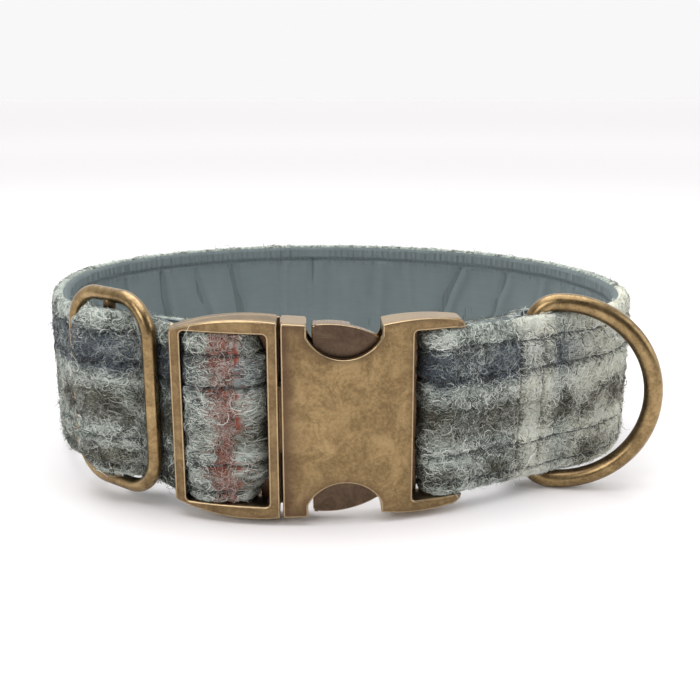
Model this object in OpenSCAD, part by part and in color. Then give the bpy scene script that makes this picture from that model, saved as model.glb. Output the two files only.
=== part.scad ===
// Wide dog collar: tweed strap, contoured two-latch buckle, tri-glide and D-ring.
// The collar stands on its lower edge, buckle towards -Y, neck axis along Z.

/* [Strap] */
// Width of the strap, top edge to bottom edge
strap_w = 41; // [38:0.5:41.5]
// Thickness of the tweed cover
tweed_t = 1.2; // [0.8:0.1:1.4]
// Thickness of the webbing core
webbing_t = 1.2; // [0.8:0.1:1.4]
// Thickness of the cotton lining
lining_t = 0.8; // [0.5:0.1:1]
// Width of the tweed folded over each edge of the webbing
fold_w = 1.4; // [1:0.1:2]
// Width of the lining's hem band
hem_w = 3.8; // [3:0.1:5]
// Height of the hem band above the lining
hem_t = 0.4; // [0.3:0.05:0.6]
// Width of a line of stitching
thread_w = 0.5; // [0.4:0.1:0.8]
// Height of a line of stitching above the cloth
thread_t = 0.25; // [0.2:0.05:0.4]

/* [Ring] */
// Reach of the strap to the right of the buckle's middle
ring_right = 86; // [84:0.5:90]
// Reach of the strap to the left of the buckle's middle
ring_left = 73; // [72:0.5:76]
// Reach of the strap behind the origin
ring_back = 64; // [62:0.5:67]
// Reach of the buckle's front face before the origin
ring_front = 67; // [66:0.5:69]
// Angle by which the strap leaves the buckle backwards
leave_angle = 26; // [24:0.5:27]
// Gap between the two halves of the strap at the back
back_gap = 0.3; // [0.2:0.05:0.5]

/* [Buckle] */
// Length of the closed buckle
buckle_len = 68.6; // [68:0.2:70]
// Tallest height of the male half
male_h = 48; // [47:0.1:48.6]
// Tallest height of the female half
female_h = 47.2; // [47:0.1:48.4]
// Thickness of the buckle at its middle
buckle_t = 9.7; // [9.4:0.1:10.4]
// Radius of the front face, seen from above
front_r = 88; // [86:1:92]
// Radius of the back face, seen from above
back_r = 240; // [220:5:280]
// Radius of the barrel-shaped upper and lower edges
barrel_r = 52; // [48:1:58]
// Radius of the rounded corners at the ends
end_round = 3; // [2:0.25:3.5]
// Gap between the two halves of the closed buckle
split_gap = 0.7; // [0.5:0.1:0.9]
// Distance of that gap to the left of the buckle's middle
split_x = 8.95; // [8.8:0.05:9.2]
// Clearance of the strap inside the buckle's slots, above and below
slot_play = 0.25; // [0.2:0.05:0.4]

/* [Male half] */
// Width of the frame's left bar
left_bar_w = 2.7; // [2.4:0.1:3]
// Width of the frame's right bar
right_bar_w = 2.5; // [2.2:0.1:2.8]
// Width of the flat bar that the strap is looped over
loop_bar_w = 8; // [7:0.2:8.4]
// Thickness of that bar
loop_bar_t = 2.6; // [2.2:0.1:2.8]
// Depth of that bar's middle behind the front face
loop_bar_depth = 5.5; // [5.3:0.1:5.8]
// Reach of the window's rear lip towards the strap's loop
window_lip = 2.2; // [1.6:0.1:2.3]
// Thickness of the rear lips
lip_t = 1.2; // [1:0.1:1.4]
// Height of the tongue's web
tongue_h = 16; // [14:0.5:17]
// Height of the tongue's wide end, which carries the latch pins
tongue_end_h = 35; // [34:0.5:36]
// Radius of the latch pins
pin_r = 1.2; // [1:0.05:1.4]

/* [Female half] */
// Height of the mouth between the lobes
mouth_h = 42; // [41.6:0.1:42.4]
// Depth of the passage from front to back
passage_t = 5.6; // [5.4:0.1:5.8]
// Length of the lobes beside the mouth
lobe_w = 5.9; // [5.6:0.1:6.2]
// Width of each thumb cutout
cutout_w = 17.2; // [16.8:0.1:17.6]
// Radius of the cutout's curved floor
cutout_r = 9.6; // [9.2:0.1:10]
// Height of that floor above the buckle's middle plane
cutout_floor = 14.9; // [14.6:0.1:15.4]
// Radius of the bar that the strap is looped round
strap_bar_r = 1.6; // [1.4:0.05:1.7]
// Distance of that bar from the female half's right end
strap_bar_inset = 5.4; // [5.2:0.1:5.7]
// Reach of the slot's rear lip towards the strap's fold
slot_lip = 1.6; // [1.2:0.1:1.6]

/* [Latches] */
// Height of a latch's shoulder above the buckle's middle plane
latch_top = 22.8; // [22:0.1:23]
// Radius of a latch's outer edge
latch_r = 24.4; // [23:0.2:26]
// Clearance of latches and tongue in the passage, front and back
latch_play = 0.4; // [0.3:0.05:0.5]
// Running clearance of a latch on its pin
pin_play = 0.05; // [0.03:0.01:0.08]
// Height of a latch pin above the buckle's middle plane
pin_z = 14.3; // [14:0.1:14.6]
// Radius of a latch's eye round its pin
eye_r = 4.1; // [3.8:0.1:4.2]

/* [D-ring] */
// Radius of the D-ring's wire
d_wire_r = 2.3; // [2:0.05:2.4]
// Clearance of the D-ring past the strap's edges
d_play = 0.3; // [0.25:0.05:0.6]
// Length of the D-ring's straight legs
d_leg = 7.25; // [7:0.25:8]
// Distance of the D-ring's bar from the strap's loop, along the strap
d_from_loop = 27.6; // [26.6:0.2:28.2]
// Angle of the D-ring away from the strap
d_angle = 37; // [36:1:40]

/* [Return tab] */
// Height of the tab that holds the strap's end to the tri-glide
tab_h = 36; // [32:0.5:37]
// Length of the tab's tail
tab_tail = 9; // [8:0.5:9.5]

/* [Tri-glide] */
// Radius of the tri-glide's wire
glide_wire_r = 1.75; // [1.6:0.05:1.85]
// Radius of its middle bar
glide_bar_r = 1.5; // [1.3:0.05:1.6]
// Distance between the middles of its outer bars
glide_span = 27; // [26:0.1:28]
// Radius of its rounded corners, at the middle of the wire
glide_corner = 9; // [7:0.25:11]
// Height of the tri-glide
glide_h = 51; // [50:0.5:52]
// How far the tri-glide sits above the strap's middle
glide_lift = 2.6; // [2:0.1:3]
// Room round the wire where it presses into the strap's edge
glide_press = 0.6; // [0.5:0.05:0.8]
// Room between the strap and the outer bars
glide_room = 0.9; // [0.8:0.05:1]
// Distance of the tri-glide's middle to the left of the buckle's middle
glide_x = 49.7; // [49:0.1:51]
// Direction of the strap at the tri-glide
glide_heading = 139.5; // [137:0.5:141]

/* [Hidden] */
$fn = 96;

facet = 5; // turn of the strap's outline per flat facet, in degrees
ease = 0.15; // room between a cloth loop and the bar inside it
lap = 0.1; // room between two layers of strap that lie together

strap_t = tweed_t + webbing_t + lining_t;
half_t = strap_t / 2;
d_height = strap_w / 2 + d_play + 2 * d_wire_r;
mid_z = d_height;

tweed_rgb = "#8f958a";
webbing_rgb = "#5f6665";
lining_rgb = "#65777b";
thread_rgb = "#3d4443";
brass_rgb = "#957448";
dark_rgb = "#54423a";
steel_rgb = "#8b8d8f";

// ---- Strap route ---------------------------------------------------------------
// A station is [x, y, heading]. Two tangent arcs join each station to the next.

function ahead(heading) = [cos(heading), sin(heading)];
function leftward(heading) = [-sin(heading), cos(heading)];
function place(s) = [s.x, s.y];
function station(point, heading) = [point.x, point.y, heading];

// Where the two arcs between stations a and b meet
function meeting(a, b) =
    let (v = place(b) - place(a), p = ahead(a.z), q = ahead(b.z), sum = p + q,
        spread = 2 * (1 - p * q),
        reach = spread < 0.000001
            ? (v * v) / (4 * (v * q))
            : (sqrt((v * sum) ^ 2 + spread * (v * v)) - v * sum) / spread)
    (place(a) + place(b) + (p - q) * reach) / 2;

// Stations along the arc that leaves s and ends at the given point
function arc_stations(s, end) =
    let (chord = end - place(s), across = chord * leftward(s.z),
        turn = 2 * atan2(across, chord * ahead(s.z)),
        count = max(1, ceil(abs(turn) / facet)))
    abs(turn) < 0.01
        ? [s]
        : let (radius = (chord * chord) / (2 * across),
            centre = place(s) + radius * leftward(s.z))
        [for (i = [0 : count - 1]) let (h = s.z + turn * i / count)
            station(centre - radius * leftward(h), h)];

function end_heading(s, end) =
    let (chord = end - place(s))
    s.z + 2 * atan2(chord * leftward(s.z), chord * ahead(s.z));

function joined(a, b) =
    let (m = meeting(a, b), middle = station(m, end_heading(a, m)))
    concat(arc_stations(a, m), arc_stations(middle, place(b)));

function route(stops) =
    concat([for (i = [0 : len(stops) - 2]) each joined(stops[i], stops[i + 1])],
        [stops[len(stops) - 1]]);

function shifted(s, offset) = place(s) + offset * leftward(s.z);

// Upright band along a route, between two offsets to its left and two heights
module band(stops, inner, outer, low, high) {
    line = route(stops);
    translate([0, 0, mid_z + low])
        linear_extrude(high - low)
            polygon(concat([for (s = line) shifted(s, outer)],
                [for (i = [len(line) - 1 : -1 : 0]) shifted(line[i], inner)]));
}

// ---- Places --------------------------------------------------------------------

end_x = buckle_len / 2;
front_centre_y = front_r - ring_front;
back_centre_y = back_r - ring_front + buckle_t;
function front_y(x) = front_centre_y - sqrt(front_r ^ 2 - x ^ 2);
function back_y(x) = back_centre_y - sqrt(back_r ^ 2 - x ^ 2);

male_right = -split_x - split_gap / 2;
female_left = -split_x + split_gap / 2;
window_left = -end_x + left_bar_w;
left_bar_back = front_y(end_x) + 1.7;
window_right = male_right - right_bar_w;
slot_half = strap_w / 2 + slot_play;
ledge_play = 0.15;
cutout_left = female_left + lobe_w;
cutout_mid = cutout_left + cutout_w / 2;

// The opening's hinge lies just outside the strap's outer face, behind the buckle
hinge_y = ring_back + thread_t;
back_line = ring_back - half_t;
passage_mid_r = hinge_y + ring_front - buckle_t / 2;

// Female bar and the straight double strap that leaves it
strap_bar_x = end_x - strap_bar_inset;
bar_turn_r = strap_bar_r + ease + half_t;
strap_bar_y = front_y(strap_bar_x) + strap_t + ease + strap_bar_r;
leave = ahead(leave_angle);
inward = leftward(leave_angle);
loop_front = [strap_bar_x, strap_bar_y] - bar_turn_r * inward;
fold_gap = strap_t + lap;
d_bar_in = half_t + ease + d_wire_r;
pocket_in = d_bar_in + d_wire_r + ease + half_t;
pocket_half = 9;
fold_tail = 2.4;
loop_run = 8;
fold_end = d_from_loop + pocket_half + fold_tail;

function beside(along, in) = station(loop_front + along * leave + in * inward, leave_angle);

right_side = [ring_right - half_t, -10, -90];
right_ring = [
    [back_gap / 2, back_line, 0],
    right_side,
    station(loop_front + fold_end * leave, leave_angle - 180)];
right_front = [right_ring[2], station(loop_front, leave_angle - 180)];
right_fold = [
    right_front[1],
    beside(0, 2 * bar_turn_r),
    beside(loop_run, fold_gap),
    beside(d_from_loop - pocket_half, fold_gap),
    beside(d_from_loop, pocket_in),
    beside(d_from_loop + pocket_half, fold_gap),
    beside(fold_end, fold_gap)];
right_stops = concat(right_ring, [for (i = [0 : len(right_fold) - 1]) right_fold[i]]);

d_bar = loop_front + d_from_loop * leave + d_bar_in * inward;

// Male bar, its loop and the return run behind it
loop_bar_x = (window_left + window_right) / 2;
loop_bar_y = front_y(loop_bar_x) + loop_bar_depth;
loop_round = loop_bar_t / 2;
loop_reach = loop_bar_w / 2 - loop_round;
loop_turn_r = loop_round + ease + half_t;

glide_dir = ahead(glide_heading);
glide_in = -leftward(glide_heading);
glide_mid = [-glide_x, front_y(end_x) + 13.74];
tab_t = webbing_t * 2 / 3;
tab_r = glide_bar_r + ease + tab_t;
crest_out = tab_r + ease + half_t;
bar_pass_in = glide_wire_r + half_t + glide_room;
return_heading = -15;
return_side = leftward(return_heading);

function behind_bar(k) =
    station(glide_mid + k * glide_span / 2 * glide_dir + bar_pass_in * glide_in, glide_heading);

return_start = glide_mid + (tab_r + lap / 2 + half_t) * return_side;

left_return = [
    station(return_start, return_heading),
    station(return_start + (tab_tail + 0.5) * ahead(return_heading), return_heading),
    [loop_bar_x - loop_reach - 4.4, loop_bar_y + loop_turn_r + 3.6, -62],
    [loop_bar_x - loop_reach, loop_bar_y + loop_turn_r, 0],
    [loop_bar_x + loop_reach, loop_bar_y + loop_turn_r, 0]];
left_front = [
    [loop_bar_x + loop_reach, loop_bar_y - loop_turn_r, 180],
    [loop_bar_x - loop_reach, loop_bar_y - loop_turn_r, 180],
    [window_left + 0.4, left_bar_back + half_t + 0.45, 146],
    behind_bar(-1),
    station(glide_mid - crest_out * glide_in, glide_heading),
    behind_bar(1)];
left_ring = [
    left_front[5],
    [half_t - ring_left, 5, 90],
    [-back_gap / 2, back_line, 0]];
left_stops = concat(left_return, left_front, [left_ring[1], left_ring[2]]);

// ---- Strap parts ---------------------------------------------------------------

lip = strap_w / 2 - fold_w;

module cover(stops) {
    band(stops, half_t - tweed_t, half_t, -strap_w / 2, strap_w / 2);
    band(stops, lining_t - half_t, half_t - tweed_t, lip, strap_w / 2);
    band(stops, lining_t - half_t, half_t - tweed_t, -strap_w / 2, -lip);
}

module core(stops) {
    band(stops, lining_t - half_t, half_t - tweed_t, -lip, lip);
}

lining_half = strap_w / 2 - 0.6;

module inner_cloth(stops, ring_stops) {
    band(stops, -half_t, lining_t - half_t, -lining_half, lining_half);
    band(ring_stops, -half_t - hem_t, -half_t, lining_half - hem_w, lining_half);
    band(ring_stops, -half_t - hem_t, -half_t, -lining_half, hem_w - lining_half);
}

face_rows = [0.38, 0.2, -0.26, -0.43];

module face_lines(stops) {
    for (row = face_rows)
        band(stops, half_t, half_t + thread_t, row * strap_w - thread_w / 2,
            row * strap_w + thread_w / 2);
}

module hem_lines(ring_stops) {
    for (row = [-1, 1]) {
        height = row * (lining_half - hem_w / 2);
        band(ring_stops, -half_t - hem_t - thread_t, -half_t - hem_t,
            height - thread_w / 2, height + thread_w / 2);
    }
}

module tweed_right() {
    color(tweed_rgb) cover(right_stops);
}

module webbing_right() {
    color(webbing_rgb) core(right_stops);
}

module lining_right() {
    color(lining_rgb) inner_cloth(right_stops, right_ring);
}

module face_stitching_right() {
    color(thread_rgb) face_lines([right_ring[0], right_ring[1], right_ring[2], right_front[1]]);
}

module hem_stitching_right() {
    color(thread_rgb) hem_lines(right_ring);
}

pocket_row_in = 1;
pocket_row_gap = 7;
pocket_row_h = 0.8 * strap_w;

// Two upright lines of stitching on the buckle's side of the D-ring, broken where the
// level lines cross them
module pocket_stitching() {
    color(thread_rgb)
        for (k = [0, 1])
            translate(loop_front + (d_from_loop - pocket_row_in - k * pocket_row_gap) * leave)
                rotate(leave_angle)
                    translate([-thread_w / 2, -half_t - thread_t, mid_z])
                        difference() {
                            translate([0, 0, -pocket_row_h / 2])
                                cube([thread_w, thread_t, pocket_row_h]);
                            for (row = face_rows)
                                translate([-1, -1, row * strap_w - thread_w / 2 - lap])
                                    cube([3, 3, thread_w + 2 * lap]);
                        }
}

module tweed_left() {
    color(tweed_rgb) pressed() cover(left_stops);
}

module webbing_left() {
    color(webbing_rgb) pressed() core(left_stops);
}

module lining_left() {
    color(lining_rgb) pressed() inner_cloth(left_stops, left_ring);
}

module face_stitching_left() {
    color(thread_rgb) pressed() face_lines(concat(left_front, [left_ring[1], left_ring[2]]));
}

module hem_stitching_left() {
    color(thread_rgb) hem_lines(left_ring);
}

// Webbing tab: a sleeve round the tri-glide's middle bar and a tail on the return run
module return_tab() {
    color(webbing_rgb)
        translate([glide_mid.x, glide_mid.y, mid_z - tab_h / 2])
            rotate(return_heading)
                difference() {
                    union() {
                        cylinder(r = tab_r, h = tab_h);
                        translate([0, tab_r - tab_t, 0]) cube([tab_tail, tab_t, tab_h]);
                    }
                    translate([0, 0, -1]) cylinder(r = tab_r - tab_t, h = tab_h + 2);
                }
}

// Two short upright lines that hold the return run's end to the tab
module tab_stitching() {
    color(thread_rgb)
        translate([glide_mid.x, glide_mid.y, mid_z - tab_h / 2])
            rotate(return_heading)
                for (k = [0.45, 0.85])
                    translate([k * tab_tail, tab_r - tab_t - thread_t, 0])
                        cube([thread_w, thread_t, tab_h]);
}

// ---- Buckle --------------------------------------------------------------------

deep = 40; // longer than anything it cuts, front to back

// Buckle blank seen from above: front and back faces, ends rounded at the back
module plan_outline() {
    difference() {
        intersection() {
            translate([0, front_centre_y]) circle(r = front_r, $fn = 360);
            translate([-end_x, -ring_front - 1]) square([buckle_len, deep]);
        }
        translate([0, back_centre_y]) circle(r = back_r, $fn = 720);
        for (k = [-1, 1]) scale([k, 1]) end_corner();
    }
}

module end_corner() {
    corner_x = end_x - end_round;
    corner_y = back_y(corner_x) - end_round;
    difference() {
        translate([corner_x, corner_y]) square([end_round + 1, end_round + 2]);
        translate([corner_x, corner_y]) circle(r = end_round);
    }
}

// Region under a barrel-shaped edge of the given radius, crest and height
module barrel(crest_x, height, radius) {
    intersection() {
        translate([crest_x, height / 2 - radius]) circle(r = radius, $fn = 360);
        translate([crest_x, radius - height / 2]) circle(r = radius, $fn = 360);
    }
}

// Turns an outline drawn in x and height into a block that runs front to back
module upright(depth = 2 * deep) {
    translate([0, depth / 2 - ring_front, mid_z]) rotate([90, 0, 0]) linear_extrude(depth) children();
}

// Part of the buckle blank under a front outline
module blank() {
    intersection() {
        translate([0, 0, 0]) linear_extrude(2 * mid_z) plan_outline();
        upright() children();
    }
}

// Thin upright strip along the blank's back, between two places
module rear_lip(x0, x1, half_h = slot_half + 0.5) {
    intersection() {
        blank() span(x0, x1, half_h);
        translate([x0, back_y(x0) - lip_t, 0]) cube([x1 - x0, deep, 2 * mid_z]);
    }
}

// Shell round the opening hinge, between two radii
module shell(inner_r, outer_r) {
    translate([0, hinge_y, 0])
        difference() {
            cylinder(r = outer_r, h = 2 * mid_z, $fn = 720);
            translate([0, 0, -1]) cylinder(r = inner_r, h = 2 * mid_z + 2, $fn = 720);
        }
}

// Front outline carried between two distances from the opening hinge
module curved_plate(inner_r, outer_r) {
    intersection() {
        shell(inner_r, outer_r);
        upright(deep) children();
    }
}

module span(x0, x1, half_h) {
    translate([x0, -half_h]) square([x1 - x0, 2 * half_h]);
}

tongue_in_r = passage_mid_r - passage_t / 2 + latch_play;
tongue_out_r = passage_mid_r + passage_t / 2 - latch_play;
lap_gap = 0.2;
pin_x = 12.5;
tongue_tip = 16.4;
wide_from = 8;
male_crest = -16.5;

module male_frame() {
    color(brass_rgb) {
        difference() {
            blank() intersection() {
                barrel(male_crest, male_h, barrel_r);
                span(-end_x, male_right, mid_z);
            }
            upright() span(window_left, window_right, slot_half);
            // The strap passes behind the left bar
            translate([-end_x - 1, left_bar_back, mid_z - slot_half])
                cube([left_bar_w + 2, deep, 2 * slot_half]);
        }
        loop_bar();
        rear_lip(window_right - window_lip, window_right + 0.5);
        // Ledge behind the split line, which closes the gap between the halves
        rear_lip(male_right - 0.5, female_left - ledge_play, male_h / 2 - 0.8);
        curved_plate(tongue_in_r, tongue_out_r) span(window_right, wide_from, tongue_h / 2);
        difference() {
            curved_plate(tongue_in_r, passage_mid_r - lap_gap / 2)
                tongue_end();
            for (k = [-1, 1]) pin_hole(k, pin_r);
        }
    }
}

module tongue_end() {
    span(wide_from, tongue_tip, tongue_end_h / 2);
}

module loop_bar() {
    for (k = [-1, 1])
        translate([loop_bar_x + k * loop_reach, loop_bar_y, mid_z - slot_half - 0.6])
            cylinder(r = loop_round, h = 2 * slot_half + 1.2);
    translate([loop_bar_x - loop_reach, loop_bar_y - loop_round, mid_z - slot_half - 0.6])
        cube([2 * loop_reach, loop_bar_t, 2 * slot_half + 1.2]);
}

module pin_hole(k, r) {
    translate([pin_x, hinge_y - passage_mid_r + deep / 2, mid_z + k * pin_z])
        rotate([90, 0, 0]) cylinder(r = r, h = deep);
}

// Pressed into the tongue's wide end and carrying the latch
module latch_pin(k) {
    color(steel_rgb)
        curved_plate(tongue_in_r, tongue_out_r)
            translate([pin_x, k * pin_z]) circle(r = pin_r);
}

shoulder_x = cutout_left + 1.2;
latch_full_to = 7.3;
latch_crest = 1.8;
latch_floor = 13.2;

// Front outline of the upper latch: curved outer edge and an eye round its pin
module latch_outline(x0, x1) {
    intersection() {
        translate([latch_crest, latch_top - latch_r]) circle(r = latch_r, $fn = 180);
        translate([x0, latch_floor]) square([x1 - x0, mid_z]);
    }
}

module latch(k) {
    lap_r = passage_mid_r + lap_gap / 2;
    latch_end = cutout_left + cutout_w - 0.5;
    color(dark_rgb)
        difference() {
            union() {
                curved_plate(tongue_in_r, tongue_out_r)
                    scale([1, k]) latch_outline(shoulder_x, latch_full_to);
                curved_plate(lap_r, tongue_out_r)
                    scale([1, k]) {
                        latch_outline(latch_full_to - 1, latch_end);
                        translate([pin_x, pin_z]) circle(r = eye_r);
                    }
            }
            pin_hole(k, pin_r + pin_play);
        }
}

spring_x = 1.2;
spring_r = 1.7;
spring_hole_r = 0.9;

// Small coil spring between the tongue's web and a latch, as a plain tube
module latch_spring(k) {
    length = latch_floor - tongue_h / 2 - lap;
    spring_y = hinge_y - sqrt(passage_mid_r ^ 2 - spring_x ^ 2);
    color(steel_rgb)
        translate([spring_x, spring_y, mid_z + k * (tongue_h / 2 + lap / 2 + length / 2)])
            difference() {
                cylinder(r = spring_r, h = length, center = true);
                cylinder(r = spring_hole_r, h = length + 2, center = true);
            }
}

passage_end = 17.4;
slot_left = 22;
lobe_crest = -12;
lobe_r = 110;
lobe_h = 46.9;
arm_crest = 24;

module female_outline() {
    difference() {
        union() {
            intersection() {
                barrel(lobe_crest, lobe_h, lobe_r);
                span(female_left, cutout_mid, mid_z);
            }
            intersection() {
                barrel(arm_crest, female_h, barrel_r);
                span(cutout_mid, end_x, mid_z);
            }
        }
        for (k = [-1, 1]) scale([1, k]) {
            intersection() {
                translate([cutout_mid, cutout_floor + cutout_r])
                    union() {
                        circle(r = cutout_r, $fn = 120);
                        translate([-cutout_w / 2, 0]) square([cutout_w, mid_z]);
                    }
                translate([cutout_left, 0]) square([cutout_w, mid_z]);
            }
            arm_corner();
        }
        span(slot_left, end_x + 1, slot_half);
    }
}

// Rounds the end of an arm, seen from the front. The cut starts past the round's top,
// which only touches the arm's edge
module arm_corner() {
    corner_z = arm_height(end_x - end_round) - end_round;
    past_top = 0.4;
    difference() {
        translate([end_x - end_round + past_top, corner_z]) square([end_round + 1, end_round + 3]);
        translate([end_x - end_round, corner_z]) circle(r = end_round);
    }
}

function arm_height(x) = female_h / 2 - barrel_r + sqrt(barrel_r ^ 2 - (x - arm_crest) ^ 2);

module female_body() {
    color(brass_rgb) {
        difference() {
            blank() female_outline();
            curved_plate(passage_mid_r - passage_t / 2, passage_mid_r + passage_t / 2)
                span(female_left - 1, passage_end, mouth_h / 2);
        }
        translate([strap_bar_x, strap_bar_y, mid_z - slot_half - 0.6])
            cylinder(r = strap_bar_r, h = 2 * slot_half + 1.2);
        rear_lip(slot_left - 0.5, slot_left + slot_lip);
    }
}

// ---- D-ring and tri-glide ------------------------------------------------------

d_mid_h = d_height - d_wire_r;
d_corner = 3.4;

// Quarter bend of wire in the upright plane: centre, radius and start angle
module bend(centre, radius, wire_r, start, sweep) {
    translate([centre.x, 0, centre.y])
        rotate([90, 0, 0])
            rotate(start)
                rotate_extrude(angle = sweep, $fn = 120)
                    translate([radius, 0]) circle(r = wire_r, $fn = 48);
}

module upright_rod(x, half_h, wire_r) {
    translate([x, 0, -half_h]) cylinder(r = wire_r, h = 2 * half_h, $fn = 48);
}

module level_rod(x0, x1, z, wire_r) {
    translate([x0, 0, z]) rotate([0, 90, 0]) cylinder(r = wire_r, h = x1 - x0, $fn = 48);
}

module d_ring() {
    color(brass_rgb)
        translate([d_bar.x, d_bar.y, mid_z])
            rotate(leave_angle - d_angle) {
                upright_rod(0, d_mid_h - d_corner, d_wire_r);
                for (k = [-1, 1]) level_rod(d_corner, d_leg, k * d_mid_h, d_wire_r);
                bend([d_corner, d_mid_h - d_corner], d_corner, d_wire_r, 90, 90);
                bend([d_corner, d_corner - d_mid_h], d_corner, d_wire_r, 180, 90);
                bend([d_leg, 0], d_mid_h, d_wire_r, -90, 180);
            }
}

glide_mid_h = glide_h / 2 - glide_wire_r;

module at_glide() {
    translate([glide_mid.x, glide_mid.y, mid_z + glide_lift]) rotate(glide_heading - 180) children();
}

// Outer loop of the tri-glide
module glide_loop(wire_r) {
    reach = glide_span / 2;
    for (k = [-1, 1]) {
        upright_rod(k * reach, glide_mid_h - glide_corner, wire_r);
        level_rod(glide_corner - reach, reach - glide_corner, k * glide_mid_h, wire_r);
    }
    for (i = [0 : 3]) {
        side_x = i == 0 || i == 3 ? 1 : -1;
        side_z = i < 2 ? 1 : -1;
        bend([side_x * (reach - glide_corner), side_z * (glide_mid_h - glide_corner)],
            glide_corner, wire_r, 90 * i, 90);
    }
}

module tri_glide() {
    color(brass_rgb)
        at_glide() {
            upright_rod(0, glide_mid_h, glide_bar_r);
            glide_loop(glide_wire_r);
        }
}

// Strap whose lower edge gives way to the tri-glide's wire
module pressed() {
    difference() {
        children();
        at_glide() glide_loop(glide_wire_r + glide_press);
    }
}

tweed_right();
webbing_right();
lining_right();
face_stitching_right();
hem_stitching_right();
pocket_stitching();
female_body();
tweed_left();
webbing_left();
lining_left();
face_stitching_left();
hem_stitching_left();
return_tab();
tab_stitching();
male_frame();
latch_pin(1);  // latch_pin_upper
latch_pin(-1);  // latch_pin_lower
latch_spring(1);  // latch_spring_upper
latch_spring(-1);  // latch_spring_lower
latch(1);  // latch_upper
latch(-1);  // latch_lower
d_ring();
tri_glide();
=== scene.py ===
"""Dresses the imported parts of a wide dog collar: wool tweed over webbing, a cotton lining, a
contoured side-release buckle, a D-ring and a tri-glide in antique brass.

Sizes in this file are in millimetres and meshes are written in metres."""

import math

import bmesh
import bpy
import numpy as np
from mathutils import Matrix, Vector
from mathutils.geometry import delaunay_2d_cdt


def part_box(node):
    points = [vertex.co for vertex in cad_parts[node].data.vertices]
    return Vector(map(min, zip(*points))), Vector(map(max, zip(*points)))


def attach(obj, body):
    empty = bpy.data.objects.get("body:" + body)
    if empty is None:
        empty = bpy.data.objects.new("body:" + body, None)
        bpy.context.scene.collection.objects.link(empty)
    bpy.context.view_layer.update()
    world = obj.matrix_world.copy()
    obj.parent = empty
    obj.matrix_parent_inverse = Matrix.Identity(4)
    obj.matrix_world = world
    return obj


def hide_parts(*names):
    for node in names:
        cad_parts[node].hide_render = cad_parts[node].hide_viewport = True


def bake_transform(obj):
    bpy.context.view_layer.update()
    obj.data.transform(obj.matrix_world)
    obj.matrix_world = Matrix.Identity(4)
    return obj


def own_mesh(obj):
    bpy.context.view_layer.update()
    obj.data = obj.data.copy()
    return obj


bl_info = {
    "name": "Tweed dog collar",
    "version": (1, 0, 0),
    "blender": (4, 5, 0),
    "location": "3D View > Sidebar > Collar",
    "description": "Builds the looks of a wide tweed dog collar round its packed parts",
    "category": "Object",
}

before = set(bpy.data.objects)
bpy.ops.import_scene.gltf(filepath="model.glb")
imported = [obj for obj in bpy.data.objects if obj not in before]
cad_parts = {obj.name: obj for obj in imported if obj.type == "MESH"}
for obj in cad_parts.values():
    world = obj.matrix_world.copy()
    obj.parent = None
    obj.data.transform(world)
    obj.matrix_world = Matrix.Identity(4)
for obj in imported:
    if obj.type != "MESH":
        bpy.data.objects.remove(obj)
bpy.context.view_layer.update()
MM = 0.001
UP = np.array([0.0, 0.0, 1.0])


def box_mm(node):
    """The low and high corner of a part's box."""
    low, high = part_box(node)
    return np.array(low) / MM, np.array(high) / MM


# ---- Sizes shared with the parts ---------------------------------------------------

# Strap: its height and middle, the thickness of its layers and half of them all, the ends of
# the tweed's lip and the lining, the lining's hem, and the rows and pitches of the stitching
TWEED_LOW, TWEED_HIGH = box_mm("tweed_right")
STRAP_W = TWEED_HIGH[2] - TWEED_LOW[2]
MID_Z = (TWEED_HIGH[2] + TWEED_LOW[2]) / 2
TWEED_T, WEBBING_T, LINING_T = 1.2, 1.2, 0.8
HALF_T = (TWEED_T + WEBBING_T + LINING_T) / 2
LIP = STRAP_W / 2 - 1.4
LINING_HALF = STRAP_W / 2 - 0.6
HEM_W = 3.8
FACE_ROWS = np.array([0.38, 0.2, -0.26, -0.43]) * STRAP_W
FACE_PITCH, HEM_PITCH, UPRIGHT_PITCH, UPRIGHT_LENGTH = 2.9, 1.9, 2.6, 1.9
# How far the middle of a face stitch stands above the cloth
PROUD = 0.1

# Ring: reach of its outer face to each side. Buckle: its size, the circles of its front and
# back, and the barrel-shaped edges of its halves with the places of their crests
RING_RIGHT, RING_LEFT, RING_BACK, RING_FRONT = 86, 73, 64, 67
BUCKLE_LEN, BUCKLE_T = 68.6, 9.7
END_X = BUCKLE_LEN / 2
# Thickness of the window's frame at the buckle's end
FRAME_T = 1.7
FRONT_R, BACK_R, BARREL_R, END_ROUND = 88, 240, 52, 3
FRONT_CENTRE_Y = FRONT_R - RING_FRONT
BACK_CENTRE_Y = BACK_R - RING_FRONT + BUCKLE_T
MALE_H, MALE_CREST, FEMALE_H, ARM_CREST = 48, -16.5, 47.2, 24
MALE_RIGHT, FEMALE_LEFT = -9.3, -8.6
WINDOW_LEFT, WINDOW_RIGHT = 2.7 - END_X, MALE_RIGHT - 2.5
SLOT_HALF = STRAP_W / 2 + 0.25
# Opening hinge at the back, and the passage and tongue, which are arcs round it
HINGE_Y = RING_BACK + 0.25
BACK_LINE = RING_BACK - HALF_T
PASSAGE_MID_R = HINGE_Y + RING_FRONT - BUCKLE_T / 2
PASSAGE_T, PASSAGE_END, MOUTH_H = 5.6, 17.4, 42
TONGUE_IN_R, TONGUE_OUT_R = PASSAGE_MID_R - 2.4, PASSAGE_MID_R + 2.4
TONGUE_H, TONGUE_END_H, TONGUE_TIP, WIDE_FROM = 16, 35, 16.4, 8
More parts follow.
